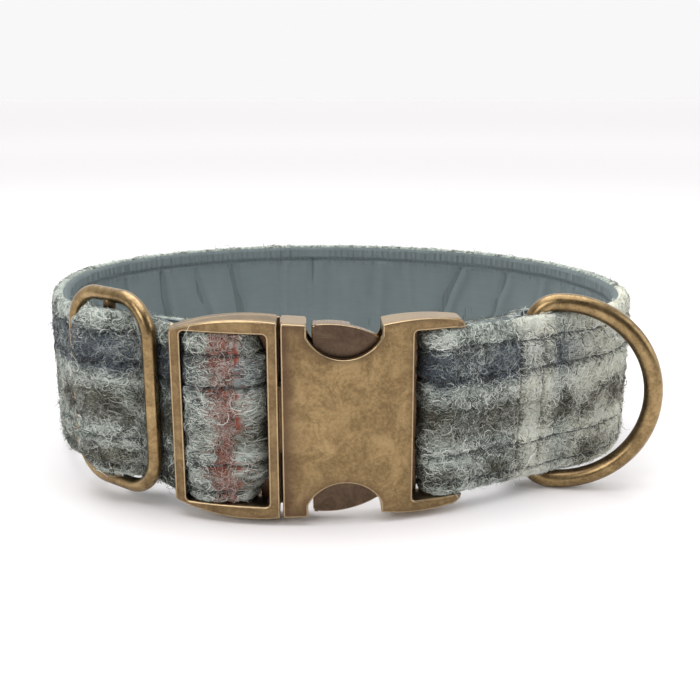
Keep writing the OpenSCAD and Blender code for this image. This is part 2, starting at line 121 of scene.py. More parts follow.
# Left lobe of the female half, the scoop that bares the latch, and the strap's slot
LOBE_CREST, LOBE_R, LOBE_H = -12, 110, 46.9
CUTOUT_LEFT = FEMALE_LEFT + 5.9
CUTOUT_W, CUTOUT_R, CUTOUT_FLOOR = 17.2, 9.6, 14.9
CUTOUT_MID, CUTOUT_RIGHT = CUTOUT_LEFT + CUTOUT_W / 2, CUTOUT_LEFT + CUTOUT_W
SLOT_LEFT, SLOT_LIP, WINDOW_LIP, LIP_T = 22, 1.6, 2.2, 1.2
# Latch: its pin and eye, its curved edge and its floor, and its spring
PIN_X, PIN_Z, EYE_R = 12.5, 14.3, 4.1
LATCH_TOP, LATCH_R, LATCH_CREST, LATCH_FLOOR, LATCH_FULL_TO = 22.8, 24.4, 1.8, 13.2, 7.3
SPRING_X = 1.2

# Tri-glide and D-ring: wires, corners, spans and headings
GLIDE_WIRE_R, GLIDE_BAR_R, GLIDE_SPAN = 1.75, 1.5, 27
GLIDE_CORNER, GLIDE_H, GLIDE_LIFT, GLIDE_HEADING = 9, 51, 2.6, 139.5
D_WIRE_R, D_CORNER, D_LEG, D_ANGLE = 2.3, 6.4, 7.25, 37
D_MID_H = MID_Z - D_WIRE_R
# Headings of the folded part and of the strap's returning end, the pocket's rows either side
# of the D-ring's bar, and the tab
LEAVE_ANGLE, RETURN_HEADING = 26, -15
POCKET_ROWS, POCKET_HALF, TAB_TAIL, TAB_H = (1, 8), 16.5, 9, 36
# Free space between cloth and metal, and the bars of the buckle's two halves
GAP, FEMALE_BAR_R, MALE_BAR_R = 0.15, 1.6, 1.3


def front_y(x):
    """Depth at x of the circle that the buckle's front follows."""
    return FRONT_CENTRE_Y - np.sqrt(FRONT_R**2 - np.square(x))


def back_y(x):
    """Depth at x of the flatter circle that the buckle's back follows."""
    return BACK_CENTRE_Y - np.sqrt(BACK_R**2 - np.square(x))


def level_y(y):
    """The same depth at every x."""
    return lambda x: y + 0 * x


def hinge_shell_y(radius):
    """Depth at x of a circle of that radius round the opening hinge."""
    return lambda x: HINGE_Y - np.sqrt(radius**2 - np.square(x))


# ---- The strap's route -------------------------------------------------------------


def ahead(heading):
    """Unit vector along a heading: its cosine and sine."""
    turn = np.radians(heading)
    return np.stack([np.cos(turn), np.sin(turn)], -1)


def leftward(heading):
    """Unit vector a quarter turn to the left of a heading."""
    turn = np.radians(heading)
    return np.stack([-np.sin(turn), np.cos(turn)], -1)


def station(point, heading):
    """A place on a route with its heading in degrees."""
    return np.array([point[0], point[1], heading], float)


FRONT_BAR_X = END_X - 5.4
FRONT_BAR = np.array([FRONT_BAR_X, front_y(FRONT_BAR_X) + 2 * HALF_T + GAP + FEMALE_BAR_R])
BAR_TURN_R = FEMALE_BAR_R + GAP + HALF_T
LOOP_FRONT = FRONT_BAR - BAR_TURN_R * leftward(LEAVE_ANGLE)
D_FROM_LOOP = 27.6
D_BAR_IN = HALF_T + GAP + D_WIRE_R
D_BAR = LOOP_FRONT + D_FROM_LOOP * ahead(LEAVE_ANGLE) + D_BAR_IN * leftward(LEAVE_ANGLE)
# The folded part bulges over the D-ring's bar, from this far before it to this far behind it
D_BULGE = 9
FOLD_END = D_FROM_LOOP + D_BULGE + 2.4


def beside(along, inward):
    """A station of the folded part, a distance along from its loop and inwards."""
    place = LOOP_FRONT + along * ahead(LEAVE_ANGLE) + inward * leftward(LEAVE_ANGLE)
    return station(place, LEAVE_ANGLE)


def right_stations():
    """Stations of the right strap: round the neck, to the female bar, round it and back."""
    fold_gap = 2 * HALF_T + 0.1
    return [
        station([0, BACK_LINE], 0),
        station([RING_RIGHT - HALF_T, -10], -90),
        station(LOOP_FRONT + FOLD_END * ahead(LEAVE_ANGLE), LEAVE_ANGLE - 180),
        station(LOOP_FRONT, LEAVE_ANGLE - 180),
        beside(0, 2 * BAR_TURN_R),
        beside(8, fold_gap),
        beside(D_FROM_LOOP - D_BULGE, fold_gap),
        beside(D_FROM_LOOP, D_BAR_IN + D_WIRE_R + GAP + HALF_T),
        beside(D_FROM_LOOP + D_BULGE, fold_gap),
        beside(FOLD_END, fold_gap),
    ]


LOOP_BAR_X = (WINDOW_LEFT + WINDOW_RIGHT) / 2
LOOP_BAR_Y = front_y(LOOP_BAR_X) + 5.5
LOOP_REACH = 4 - MALE_BAR_R
LOOP_TURN_R = MALE_BAR_R + GAP + HALF_T
# Middle of the tri-glide's bar, and the tab that is turned round it
GLIDE_MID = np.array([-49.7, front_y(END_X) + 13.74])
TAB_T = WEBBING_T * 2 / 3
TAB_R = GLIDE_BAR_R + GAP + TAB_T


def left_stations():
    """Stations of the left strap: from the tab, round the male bar, over the tri-glide and
    round the neck."""
    along, inward = ahead(GLIDE_HEADING), -leftward(GLIDE_HEADING)
    bar_pass = GLIDE_WIRE_R + HALF_T + 0.9
    start = GLIDE_MID + (TAB_R + 0.05 + HALF_T) * leftward(RETURN_HEADING)

    def behind_bar(side):
        """A station inside the tri-glide's outer bar on one side."""
        place = GLIDE_MID + side * GLIDE_SPAN / 2 * along + bar_pass * inward
        return station(place, GLIDE_HEADING)

    left, right = LOOP_BAR_X - LOOP_REACH, LOOP_BAR_X + LOOP_REACH
    return [
        station(start, RETURN_HEADING),
        station(start + (TAB_TAIL + 0.5) * ahead(RETURN_HEADING), RETURN_HEADING),
        station([left - 4.4, LOOP_BAR_Y + LOOP_TURN_R + 3.6], -62),
        station([left, LOOP_BAR_Y + LOOP_TURN_R], 0),
        station([right, LOOP_BAR_Y + LOOP_TURN_R], 0),
        station([right, LOOP_BAR_Y - LOOP_TURN_R], 180),
        station([left, LOOP_BAR_Y - LOOP_TURN_R], 180),
        station([WINDOW_LEFT + 0.4, front_y(END_X) + FRAME_T + HALF_T + 0.45], 146),
        behind_bar(-1),
        station(GLIDE_MID - (TAB_R + GAP + HALF_T) * inward, GLIDE_HEADING),
        behind_bar(1),
        station([HALF_T - RING_LEFT, 5], 90),
        station([0, BACK_LINE], 0),
    ]


def meeting(a, b):
    """Where the two tangent arcs between stations a and b meet."""
    v, p, q = b[:2] - a[:2], ahead(a[2]), ahead(b[2])
    both, spread = p + q, 2 * (1 - p @ q)
    if spread < 1e-6:
        reach = (v @ v) / (4 * (v @ q))
    else:
        reach = (math.sqrt((v @ both) ** 2 + spread * (v @ v)) - v @ both) / spread
    return (a[:2] + b[:2] + (p - q) * reach) / 2


# The most degrees that a route turns from one of its places to the next
WIDEST_TURN = 9


def arc(start, end, step):
    """Stations at even steps along the arc that leaves start and ends at the point end, with
    its length and last heading."""
    chord = end - start[:2]
    across, onward = chord @ leftward(start[2]), chord @ ahead(start[2])
    turn = 2 * math.degrees(math.atan2(across, onward))
    straight = abs(turn) < 0.01
    radius = 0 if straight else (chord @ chord) / (2 * across)
    length = np.linalg.norm(chord) if straight else abs(radius * math.radians(turn))
    count = max(1, math.ceil(max(length / step, abs(turn) / WIDEST_TURN)))
    share = np.arange(count) / count
    headings = start[2] + turn * share
    if straight:
        places = start[:2] + share[:, None] * chord
    else:
        centre = start[:2] + radius * leftward(start[2])
        places = centre - radius * leftward(headings)
    return places, headings, length * share, length, start[2] + turn


class Route:
    """A strap's line: places, headings and distances along it, from stations joined by pairs of
    tangent arcs."""

    def __init__(self, stations, step=0.7):
        places, headings, distances, done = [], [], [], 0.0
        self.marks = [0.0]
        for a, b in zip(stations[:-1], stations[1:]):
            start, middle = a, meeting(a, b)
            for end in (middle, b[:2]):
                place, turned_to, along, length, heading = arc(start, end, step)
                places.append(place)
                headings.append(turned_to)
                distances.append(along + done)
                done += length
                start = station(middle, heading)
            self.marks.append(done)
        last = stations[-1]
        self.places = np.vstack(places + [last[None, :2]])
        self.headings = np.concatenate(headings + [last[2:]])
        self.s = np.concatenate(distances + [[done]])
        self.length = done

    def at(self, s):
        """Places, outward directions and onward directions at distances along the route."""
        s = np.clip(s, 0, self.length)
        x = np.interp(s, self.s, self.places[:, 0])
        y = np.interp(s, self.s, self.places[:, 1])
        heading = np.interp(s, self.s, self.headings)
        return np.stack([x, y], -1), leftward(heading), ahead(heading)


RIGHT = Route(right_stations())
LEFT = Route(left_stations())


# ---- Meshes ------------------------------------------------------------------------


def grid_faces(rows, columns, wrap_rows=False, wrap_columns=False):
    """Quads of a grid of points numbered row by row."""
    r = np.arange(rows if wrap_rows else rows - 1)[:, None]
    c = np.arange(columns if wrap_columns else columns - 1)[None, :]
    r2, c2 = (r + 1) % rows, (c + 1) % columns
    quads = np.stack([r * columns + c, r2 * columns + c, r2 * columns + c2, r * columns + c2], -1)
    return quads.reshape(-1, 4)


def make_mesh(name, points, faces, uv=None, values=None, sharp=None):
    """A mesh object from points in millimetres, lists or arrays of faces, one UV pair per point
    and named values per point."""
    mesh = bpy.data.meshes.new(name)
    parts = [np.asarray(f, np.int64) for f in faces if len(f)]
    loops = np.concatenate([f.ravel() for f in parts])
    totals = np.concatenate([np.full(len(f), f.shape[1]) for f in parts])
    starts = np.concatenate([[0], np.cumsum(totals)[:-1]])
    mesh.vertices.add(len(points))
    mesh.vertices.foreach_set("co", (np.asarray(points, float) * MM).astype(np.float32).ravel())
    mesh.loops.add(len(loops))
    mesh.loops.foreach_set("vertex_index", loops.astype(np.int32))
    mesh.polygons.add(len(totals))
    mesh.polygons.foreach_set("loop_start", starts.astype(np.int32))
    mesh.update(calc_edges=True)
    if uv is not None:
        layer = mesh.uv_layers.new(name="cloth")
        layer.data.foreach_set("uv", (np.asarray(uv)[loops] * MM).astype(np.float32).ravel())
    for key, value in (values or {}).items():
        attribute = mesh.attributes.new(key, "FLOAT", "POINT")
        attribute.data.foreach_set("value", np.asarray(value, np.float32).ravel())
    mesh.validate()
    mesh.shade_smooth()
    if sharp:
        mesh.set_sharp_from_angle(angle=math.radians(sharp))
    piece = bpy.data.objects.new(name, mesh)
    bpy.context.scene.collection.objects.link(piece)
    return piece


def gathered(parts):
    """Joins several (points, faces, values) into one, with the faces' numbers moved on."""
    points, faces, values, count = [], [], {}, 0
    for p, fs, v in parts:
        points.append(p)
        faces += [np.asarray(f) + count for f in fs if len(f)]
        for key, value in v.items():
            values.setdefault(key, []).append(value)
        count += len(p)
    return np.vstack(points), faces, {k: np.concatenate(v) for k, v in values.items()}


def unit(vectors):
    """Vectors along the last axis, each divided by its length."""
    return vectors / (np.linalg.norm(vectors, axis=-1, keepdims=True) + 1e-12)


def running(points):
    """Distances along a line of points, from its first."""
    return np.concatenate([[0], np.cumsum(np.linalg.norm(np.diff(points, axis=0), axis=1))])


def bend_points(centre, radius, start, sweep, steps):
    """Points on a circle's arc from a start angle over a sweep in degrees, without its end."""
    return np.asarray(centre) + radius * ahead(start + sweep * np.arange(steps) / steps)


def circle(centre, radius, steps):
    """Points round a circle, turning left."""
    return bend_points(centre, radius, 0, 360, steps)


def lattice_noise(s, z, size, seed, cells=64):
    """Smooth random values from -1 to 1: random numbers on a square lattice of the given size,
    blended with an eased weight between its corners."""
    grid = np.random.default_rng(seed).uniform(-1, 1, (cells, cells))
    a, b = np.asarray(s) / size + 500, np.asarray(z) / size + 500
    i, j = np.floor(a).astype(int), np.floor(b).astype(int)
    u, v = a - i, b - j
    u, v = u * u * (3 - 2 * u), v * v * (3 - 2 * v)
    i0, i1, j0, j1 = i % cells, (i + 1) % cells, j % cells, (j + 1) % cells
    low = grid[i0, j0] * (1 - u) + grid[i1, j0] * u
    high = grid[i0, j1] * (1 - u) + grid[i1, j1] * u
    return low * (1 - v) + high * v


def hill(x, centre, width):
    """A bell-shaped hill: e to the minus square of the distance over the width."""
    return np.exp(-np.square((np.asarray(x) - centre) / width))


def step_between(x, low, high):
    """Nothing below low, one above high, and a cubic ease between."""
    t = np.clip((np.asarray(x) - low) / (high - low), 0, 1)
    return t * t * (3 - 2 * t)


def plateau(x, low, high, soft):
    """One between low and high, falling to nothing over the soft distance on each side."""
    return step_between(x, low - soft, low + soft) * (1 - step_between(x, high - soft, high + soft))


# ---- Cloth -------------------------------------------------------------------------

# Distances along the left strap: where it turns round the buckle's bar, comes into the window
# and leaves it, passes the tri-glide's middle bar, and starts round the neck
ROUND_LOOP_BAR, INTO_WINDOW, OUT_OF_WINDOW = LEFT.marks[4:7]
OVER_GLIDE, LEFT_NECK = LEFT.marks[9:11]
IN_WINDOW = (INTO_WINDOW + OUT_OF_WINDOW) / 2
# Along the right strap: where it leaves the neck, the end of its outer layer at the female
# bar, and the D-ring's bar
RIGHT_NECK, AT_LOOP = RIGHT.marks[2], RIGHT.marks[3]
AT_D_RING = AT_LOOP - D_FROM_LOOP
HINGE_END = {"right": 0, "left": LEFT.length}
NECK_SPAN = {"right": (0, RIGHT_NECK), "left": (LEFT_NECK, LEFT.length)}
FACE_SPAN = {"right": (0, AT_LOOP), "left": (INTO_WINDOW, LEFT.length)}
# First seeds of the noise in the tweed's relief, its dye and its light
RELIEF_SEED = {"right": 3, "left": 4}
DYE_SEED = {"right": 40, "left": 60}
LIGHT_SEED = {"right": 80, "left": 90}


def glide_rise(s, half):
    """How far the strap rides up: its left half does, inside the tri-glide."""
    return 3.2 * plateau(s, OVER_GLIDE - 12, OVER_GLIDE + 12, 9) * (half == "left")


def round_neck(s, half, inset, soft):
    """One where a strap runs round the neck, and nothing where it comes back from the buckle.
    The inset moves the change into the part round the neck."""
    low, high = NECK_SPAN[half]
    if half == "left":
        return step_between(s, low + inset - soft, low + inset + soft)
    return 1 - step_between(s, high - inset - soft, high - inset + soft)


def strap_places(route, s, z, off):
    """Places at distances s along a strap, heights z and offsets outwards, with the onward and
    the outward direction there."""
    place, out, along = route.at(s)
    places = np.concatenate([place + off[..., None] * out, (MID_Z + z)[..., None]], -1)
    level = np.zeros((*np.shape(s), 1))
    return places, np.concatenate([along, level], -1), np.concatenate([out, level], -1)


def face_wander(s, row_number, half):
    """How far a row of face stitching strays up or down."""
    return 0.35 * lattice_noise(s, 0 * s + row_number, 9.0, RELIEF_SEED[half] + 20)


def pocket_line(k, z):
    """Where a row of the D-ring's pocket lies along the strap at height z."""
    return AT_D_RING + k + 0.4 * lattice_noise(0 * z + k, z, 6.0, 33)


def tweed_relief(s, z, half):
    """Outward swelling of the tweed: a crowned face, valleys along the rows of stitching with a
    pucker at each stitch, and soft lumps."""
    seed = RELIEF_SEED[half]
    away = step_between(np.abs(s - HINGE_END[half]), 0.3, 4)
    face = 1 - step_between(np.abs(z), 17.5, 20.3)
    out = 0.32 * (1 - np.power(np.abs(z) / (STRAP_W / 2), 4)) * face
    lumps = 0.28 * lattice_noise(s, z, 4.6, seed) + 0.16 * lattice_noise(s, z, 1.4, seed + 10)
    tufts = np.abs(lattice_noise(s, z, 2.3, seed + 11)) + np.abs(lattice_noise(s, z, 3.1, seed + 12))
    out = out + (lumps + 0.5 * np.sqrt(tufts) - 0.35) * away
    pucker = 0.7 + 0.3 * np.cos(2 * math.pi * s / FACE_PITCH) * away
    for k, row in enumerate(FACE_ROWS):
        line = row + away * face_wander(s, k, half)
        out = out - 1.3 * hill(z, line, 0.5) * pucker + 0.3 * hill(z, line, 2.2)
    if half == "left":
        puff = hill(s, OVER_GLIDE + 7.2, 4.0) * (1 - step_between(np.abs(z), 16, 20.5))
        out = out + 2.8 * puff
        window = plateau(s, IN_WINDOW - 9, IN_WINDOW + 9, 3)
        turn = hill(s, INTO_WINDOW - 3.6, 3.0)
        out = out + (0.9 * window + 1.2 * turn) * (1 - step_between(np.abs(z), 13, 20))
    if half == "right":
        for k in POCKET_ROWS:
            row = pocket_line(k, z)
            pull = plateau(z, -POCKET_HALF, POCKET_HALF, 1.5)
            pull = pull * (0.7 + 0.3 * np.cos(2 * math.pi * z / 3.4))
            out = out - 1.5 * hill(s, row, 0.6) * pull + 0.6 * hill(s, row, 2.8) * pull
    return out


def dye_masks(s, z, half):
    """How much navy, olive, rust and cream yarn shows at a place on the cloth: level bands
    crossed by softer upright ones, broken up by blotches."""
    seed = DYE_SEED[half]
    down = 0.5 - z / STRAP_W + 0.02 * lattice_noise(s, z, 6.0, seed)
    blotch = 0.5 + 0.5 * lattice_noise(s, z, 3.6, seed + 1)
    fine = 0.5 + 0.5 * lattice_noise(s, z, 1.5, seed + 2)
    column = 0.5 + 0.5 * np.cos(2 * math.pi * (s + 2.0) / 21.0)
    window = 0 * s
    if half == "left":
        window = plateau(s, IN_WINDOW - 7.5, IN_WINDOW + 7.5, 1.5)
    navy = plateau(down, 0.12, 0.34, 0.05) * (0.75 + 0.9 * blotch) * (0.6 + 0.4 * column)
    olive = plateau(down, 0.47, 0.67, 0.05) + 0.8 * plateau(down, 0.82, 0.96, 0.04)
    olive = olive * (0.45 + 1.4 * blotch) * (0.5 + 0.5 * column)
    navy, olive = navy * (1 - 0.55 * window), olive * (1 - 0.3 * window)
    rust, cream = 0 * s, 0.25 * step_between(blotch * fine, 0.45, 0.8)
    if half == "left":
        beat = 0.6 + 0.6 * step_between(fine * 0.6 + blotch * 0.4, 0.3, 0.62)
        ragged = s + 1.1 * lattice_noise(s, z, 2.2, seed + 3)
        rust = beat * plateau(ragged, IN_WINDOW - 2.7, IN_WINDOW + 2.7, 0.6)
        navy, olive = navy * (1 - 0.6 * rust), olive * (1 - 0.5 * rust)
    else:
        cream = cream + plateau(s, AT_D_RING - 2, AT_D_RING + 9, 2.0) * (0.45 + 0.9 * fine)
        far = step_between(AT_D_RING - s, 2, 14) * (1 - step_between(AT_D_RING - s, 40, 60))
        cream = cream + 0.9 * far
        olive = olive * (1 + 0.6 * far * step_between(blotch, 0.3, 0.6))
        navy = navy * (1 - 0.45 * cream) * (1 - 0.6 * far)
        olive = olive * (1 - 0.3 * cream)
    masks = {"navy": navy, "olive": olive, "rust": rust, "cream": cream}
    return {name: np.clip(mask, 0, 1) for name, mask in masks.items()}


def cloth_light(s, z, half):
    """How light the wool is at a place, from 0 to 1: clumps of pale and dark wool, with painted shade in
    the stitched valleys, where the strap goes into the buckle and where the left strap runs from the
    window to the tri-glide."""
    seed = LIGHT_SEED[half]
    clumps = 0.4 * lattice_noise(s, z, 0.9, seed) + 0.3 * lattice_noise(s, z, 2.2, seed + 1)
    light = 0.66 + clumps + 0.12 * lattice_noise(s, z, 6.0, seed + 2)
    # Painted shade along the stitched valleys
    for row in FACE_ROWS:
        light = light - 0.7 * hill(z, row, 0.55)
    if half == "right":
        # Painted shade along the pocket's rows
        for k in POCKET_ROWS:
            valley = hill(s, AT_D_RING + k, 0.55) * plateau(z, -POCKET_HALF, POCKET_HALF, 1.5)
            light = light - 0.7 * valley
        # Painted shade where the strap turns into the buckle's slot
        light = light - 0.5 * plateau(s, AT_LOOP + 5, RIGHT.length, 2)
        light = light + 0.2 * plateau(s, AT_D_RING - 45, AT_D_RING + 9, 3)
        light = light + 0.2 * plateau(s, AT_D_RING - 1, AT_D_RING + 8, 2)
        light = light - 0.12 * hill(z, -2.7, 4.5) + 0.12 * step_between(-z, 13, 17)
    else:
        # Painted shade from the window to the tri-glide
        light = light - 0.3 * plateau(s, OUT_OF_WINDOW + 1, OVER_GLIDE - 12, 2)
        light = light + 0.14 * plateau(s, IN_WINDOW - 7, IN_WINDOW + 9, 2)
    return light


# Points across the tweed's face and round each rim, and the rim's radius
FACE_POINTS, RIM_POINTS, RIM_R = 74, 6, 1.5


def cover_profile():
    """The tweed's section as offsets outwards and heights: a flat outer face, rounded rims, and
    a lip turned in over the webbing."""
    reach = STRAP_W / 2
    face_z = np.linspace(RIM_R - reach, reach - RIM_R, FACE_POINTS)
    face = np.stack([np.full_like(face_z, HALF_T), face_z], 1)
    angle = 90 * np.arange(1, RIM_POINTS + 1) / RIM_POINTS
    top = [HALF_T - RIM_R, reach - RIM_R] + RIM_R * ahead(angle)
    lip_top = [
        [-0.35, reach - 0.02], [-0.72, reach - 0.25], [-0.84, reach - 0.7], [-0.8, LIP],
        [HALF_T - TWEED_T, LIP],
    ]
    above = np.vstack([top, lip_top])
    return np.vstack([face, above, above[::-1] * [1, -1]])


COVER = cover_profile()
# The lower rim, the face and the upper rim, which are what shows of the section
UPPER_RIM_END = FACE_POINTS + RIM_POINTS
OUTER = np.vstack([COVER[-RIM_POINTS:], COVER[:UPPER_RIM_END]])
OUTER_RUN = running(OUTER)
OUTER_LENGTH = float(OUTER_RUN[-1])


def cover_surface(route, half, s, q):
    """Place and outward normal on the tweed at distance s along the strap and q along the outer
    part of its section, with the relief added."""
    tangent = unit(np.gradient(OUTER, OUTER_RUN, axis=0))
    off, z, t_off, t_z = (np.interp(q, OUTER_RUN, line) for line in (*OUTER.T, *tangent.T))
    off = off + tweed_relief(s, z, half)
    point, _, out = strap_places(route, s, z + glide_rise(s, half), off)
    normal = t_z[..., None] * out - t_off[..., None] * UP
    return point, normal, z


def strip(route, half, s, section, off):
    """Carries a closed section along the route. Its heights are the same all along, and its
    offsets outwards are given for every place. Ends are closed by fans about middles a little
    inside the section's inner side. UV is distance along the strap and height."""
    rows, columns = len(s), len(section)
    place, out = route.at(s)[:2]
    points = np.empty((rows, columns, 3))
    points[..., :2] = place[:, None] + off[..., None] * out[:, None]
    points[..., 2] = section[:, 1] + MID_Z + glide_rise(s, half)[:, None]
    reach = np.broadcast_to(off, (rows, columns))[[0, -1]]
    inside = 0.25 * reach.min(1) + 0.75 * reach.max(1)
    middles = points[[0, -1]].mean(1)
    middles[:, :2] = place[[0, -1]] + inside[:, None] * out[[0, -1]]
    quads = grid_faces(rows, columns, wrap_columns=True)
    ring = np.arange(columns)
    after = (ring + 1) % columns
    total, last_row = rows * columns, (rows - 1) * columns
    start = np.stack([ring, after, np.full(columns, total)], 1)
    end = np.stack([after + last_row, ring + last_row, np.full(columns, total + 1)], 1)
    uv = np.stack(np.broadcast_arrays(s[:, None], section[None, :, 1]), -1).reshape(-1, 2)
    uv = np.vstack([uv, [[s[0], 0], [s[-1], 0]]])
    return np.vstack([points.reshape(-1, 3), middles]), [quads, start, end], uv


def route_steps(route, start=0):
    """The route's own distances from a start to its end, which are closer where it turns."""
    inside = route.s[(route.s > start + 0.2) & (route.s < route.length - 0.2)]
    return np.unique(np.concatenate([[start], inside, [route.length]]))


def make_tweed(name, route, half):
    """The tweed's section carried along a strap, with the relief added to what shows of it."""
    s = route_steps(route)
    outer = np.zeros(len(COVER))
    outer[:UPPER_RIM_END] = 1
    outer[-RIM_POINTS:] = 1
    grid_s, grid_z = np.broadcast_arrays(s[:, None], COVER[None, :, 1])
    off = COVER[None, :, 0] + outer * tweed_relief(grid_s, grid_z, half)
    points, faces, uv = strip(route, half, s, COVER, off)
    masks = dye_masks(uv[:, 0], uv[:, 1], half)
    masks["shade"] = np.clip(cloth_light(uv[:, 0], uv[:, 1], half), 0, 1)
    return make_mesh(name, points, faces, uv, masks)


def make_fibres(name, route, half, count, seed, spots, lengths, lift=(0.08, 0.45)):
    """Curled wool fibres as narrow ribbons that lie on the tweed. A fibre starts at a random
    place, its direction turns evenly along it, and it rises towards its tip. spots are the
    (start, end, share) of the strap's length that it grows on."""
    rng = np.random.default_rng(seed)
    widths = np.array([0.8, 1, 1, 1, 0.8, 0.3])
    knots = len(widths)
    lows, highs, shares = np.array(spots, float).T
    pick = rng.choice(len(spots), count, p=shares / shares.sum())
    low, high = lows[pick], highs[pick]
    s0 = rng.uniform(low, high)
    q0 = rng.uniform(0.3, OUTER_LENGTH - 0.3, count)
    length = rng.uniform(*lengths, count) * rng.choice([1, 0.7, 1.3], count)
    first = rng.uniform(0, 2 * math.pi, count)
    bend = rng.choice([-1, 1], count) * rng.uniform(1.0, 4.6, count)
    t = np.linspace(0, 1, knots)
    heading = first[:, None] + bend[:, None] * t
    part = length[:, None] / (knots - 1)
    stay = np.zeros((count, 1))
    ds = np.hstack([stay, np.cumsum(np.cos(heading[:, :-1]) * part, 1)])
    dq = np.hstack([stay, np.cumsum(np.sin(heading[:, :-1]) * part, 1)])
    rise = rng.uniform(*lift, count) * np.where(rng.random(count) < 0.07, 2.6, 1)
    width = rng.uniform(0.035, 0.09, count)
    arch = rise[:, None] * np.where(
        (rng.random(count) < 0.5)[:, None], np.sin(math.pi * 0.9 * t), np.power(t, 1.4)
    )
    s, q = np.clip(s0[:, None] + ds, low[:, None], high[:, None]), q0[:, None] + dq
    over = np.maximum(q - OUTER_LENGTH, 0) + np.maximum(-q, 0)
    base, normal, z = cover_surface(route, half, s, q)
    line = base + normal * (arch + 0.4 * over)[..., None]
    twist = rng.normal(0, 0.5, count)[:, None, None]
    side = unit(np.cross(np.gradient(line, axis=1), normal)) + twist * normal
    side = side * (width[:, None] * widths)[..., None]
    points = np.stack([line - side, line + side], 2).reshape(-1, 3)
    ribbon = np.array([[0, 1, 3, 2]]) + 2 * np.arange(knots - 1)[:, None]
    quads = ribbon[None] + 2 * knots * np.arange(count)[:, None, None]
    root = np.repeat(np.stack([s0, z[:, 0]], 1), 2 * knots, 0)
    masks = dye_masks(s0 + rng.normal(0, 0.4, count), z[:, 0] + rng.normal(0, 0.4, count), half)
    masks["shade"] = cloth_light(s0, z[:, 0], half) + rng.normal(0, 0.28, count)
    values = {key: np.repeat(value, 2 * knots) for key, value in masks.items()}
    return make_mesh(name, points, [quads.reshape(-1, 4)], root, values)


# Groups of fibres: half, seed, and the spans of the strap they grow on with their shares
FIBRE_GROUPS = {
    "fibres_right_front": ("right", 101, [(AT_D_RING - 22, AT_LOOP + 9, 1.0)]),
    "fibres_right_side": (
        "right",
        102,
        [
            (AT_D_RING - 62, AT_D_RING - 22, 0.6),
            (0.2, AT_D_RING - 62, 0.7),
            (AT_LOOP + 9, RIGHT.length - 0.3, 0.25),
        ],
    ),
    "fibres_left_front": (
        "left",
        103,
        [
            (ROUND_LOOP_BAR - 3, OUT_OF_WINDOW + 8, 1.0),
            (OUT_OF_WINDOW + 8, LEFT_NECK + 4, 1.6),
        ],
    ),
    "fibres_left_side": (
        "left",
        104,
        [
            (LEFT_NECK + 4, LEFT_NECK + 60, 0.7),
            (LEFT_NECK + 60, LEFT.length - 0.2, 0.6),
            (0.3, ROUND_LOOP_BAR - 3, 0.35),
        ],
    ),
}

# Folds across the lining: distance along the strap, width, depth and lean
LINING_FOLDS = {
    "right": [
        (6, 1.6, 0.5, 0.02), (21.5, 2.2, 0.9, 0.05), (33, 1.5, 0.5, -0.05), (51, 2.0, 1.3, 0.42),
        (69, 1.8, 1.1, 0.3), (84, 1.6, 0.7, 0.2), (102, 0.8, 1.0, -0.05), (118, 1.8, 0.7, 0.1),
        (133, 1.5, 0.6, -0.2), (147, 1.7, 0.7, 0.1),
    ],
    "left": [
        (112, 1.7, 0.6, 0.1), (127, 1.6, 0.7, -0.1), (141, 1.5, 0.5, 0.1), (158, 1.7, 0.7, 0.0),
        (174, 1.4, 0.6, -0.1), (190, 1.7, 1.2, -0.1), (203, 1.5, 0.7, -0.25),
        (216, 2.4, 0.9, -0.2), (232.5, 1.8, 0.7, 0.03), (239.5, 1.2, 0.5, 0.0),
    ],
}
# Shares that the folds and the whole relief near the lining's edges keep of their depth
FOLD_SHARE, EDGE_SHARE = 0.72, 0.25


def lining_relief(s, z, half):
    """Inward swelling of the lining: a rolled ridge inside each edge, gathered in small puckers
    along its stitching, and upright folds across the middle that lean and fade at the seams.
    Where the lining comes back from the buckle it has small ribs under its upper edge."""
    ring = round_neck(s, half, 2, 1.5)
    seam = LINING_HALF - HEM_W
    size = np.abs(z)
    ridge = plateau(size, seam + 0.35, LINING_HALF - 0.35, 0.45)
    away = step_between(np.abs(s - HINGE_END[half]), 0.5, 7)
    gather = away * np.cos(2 * math.pi * (s + 0.4 * np.sin(s / 3.1)) / HEM_PITCH)
    out = ring * ridge * (0.6 + 0.34 * gather + 0.16 * away * lattice_noise(s, 0 * z, 3.0, 5))
    valley = hill(size, seam, 0.5)
    out = out - 0.55 * ring * valley * (0.65 + 0.35 * gather)
    inner = 1 - step_between(size, seam - 1.4, seam - 0.2)
    out = out + ring * 0.3 * gather * hill(size, seam - 1.3, 1.3)
    ribs = np.cos(2 * math.pi * (LINING_HALF - z) / 0.85)
    ribs = ribs * step_between(z, LINING_HALF - 3.4, LINING_HALF - 2.6)
    out = out + 0.12 * (1 - ring) * ribs
    crease = 0.62 * lattice_noise(s, z * 0.2, 6.0, 7) + 0.3 * lattice_noise(s, z * 0.4, 2.6, 8)
    out = out + inner * away * crease
    for centre, width, depth, lean in LINING_FOLDS[half]:
        at = s - centre - lean * (z - 10) - 0.5 * lattice_noise(0 * s, z, 6.0, int(centre))
        fold = hill(at, width * 1.2, width) - hill(at, 0, width * 0.8)
        out = out + inner * away * depth * FOLD_SHARE * fold
    return out


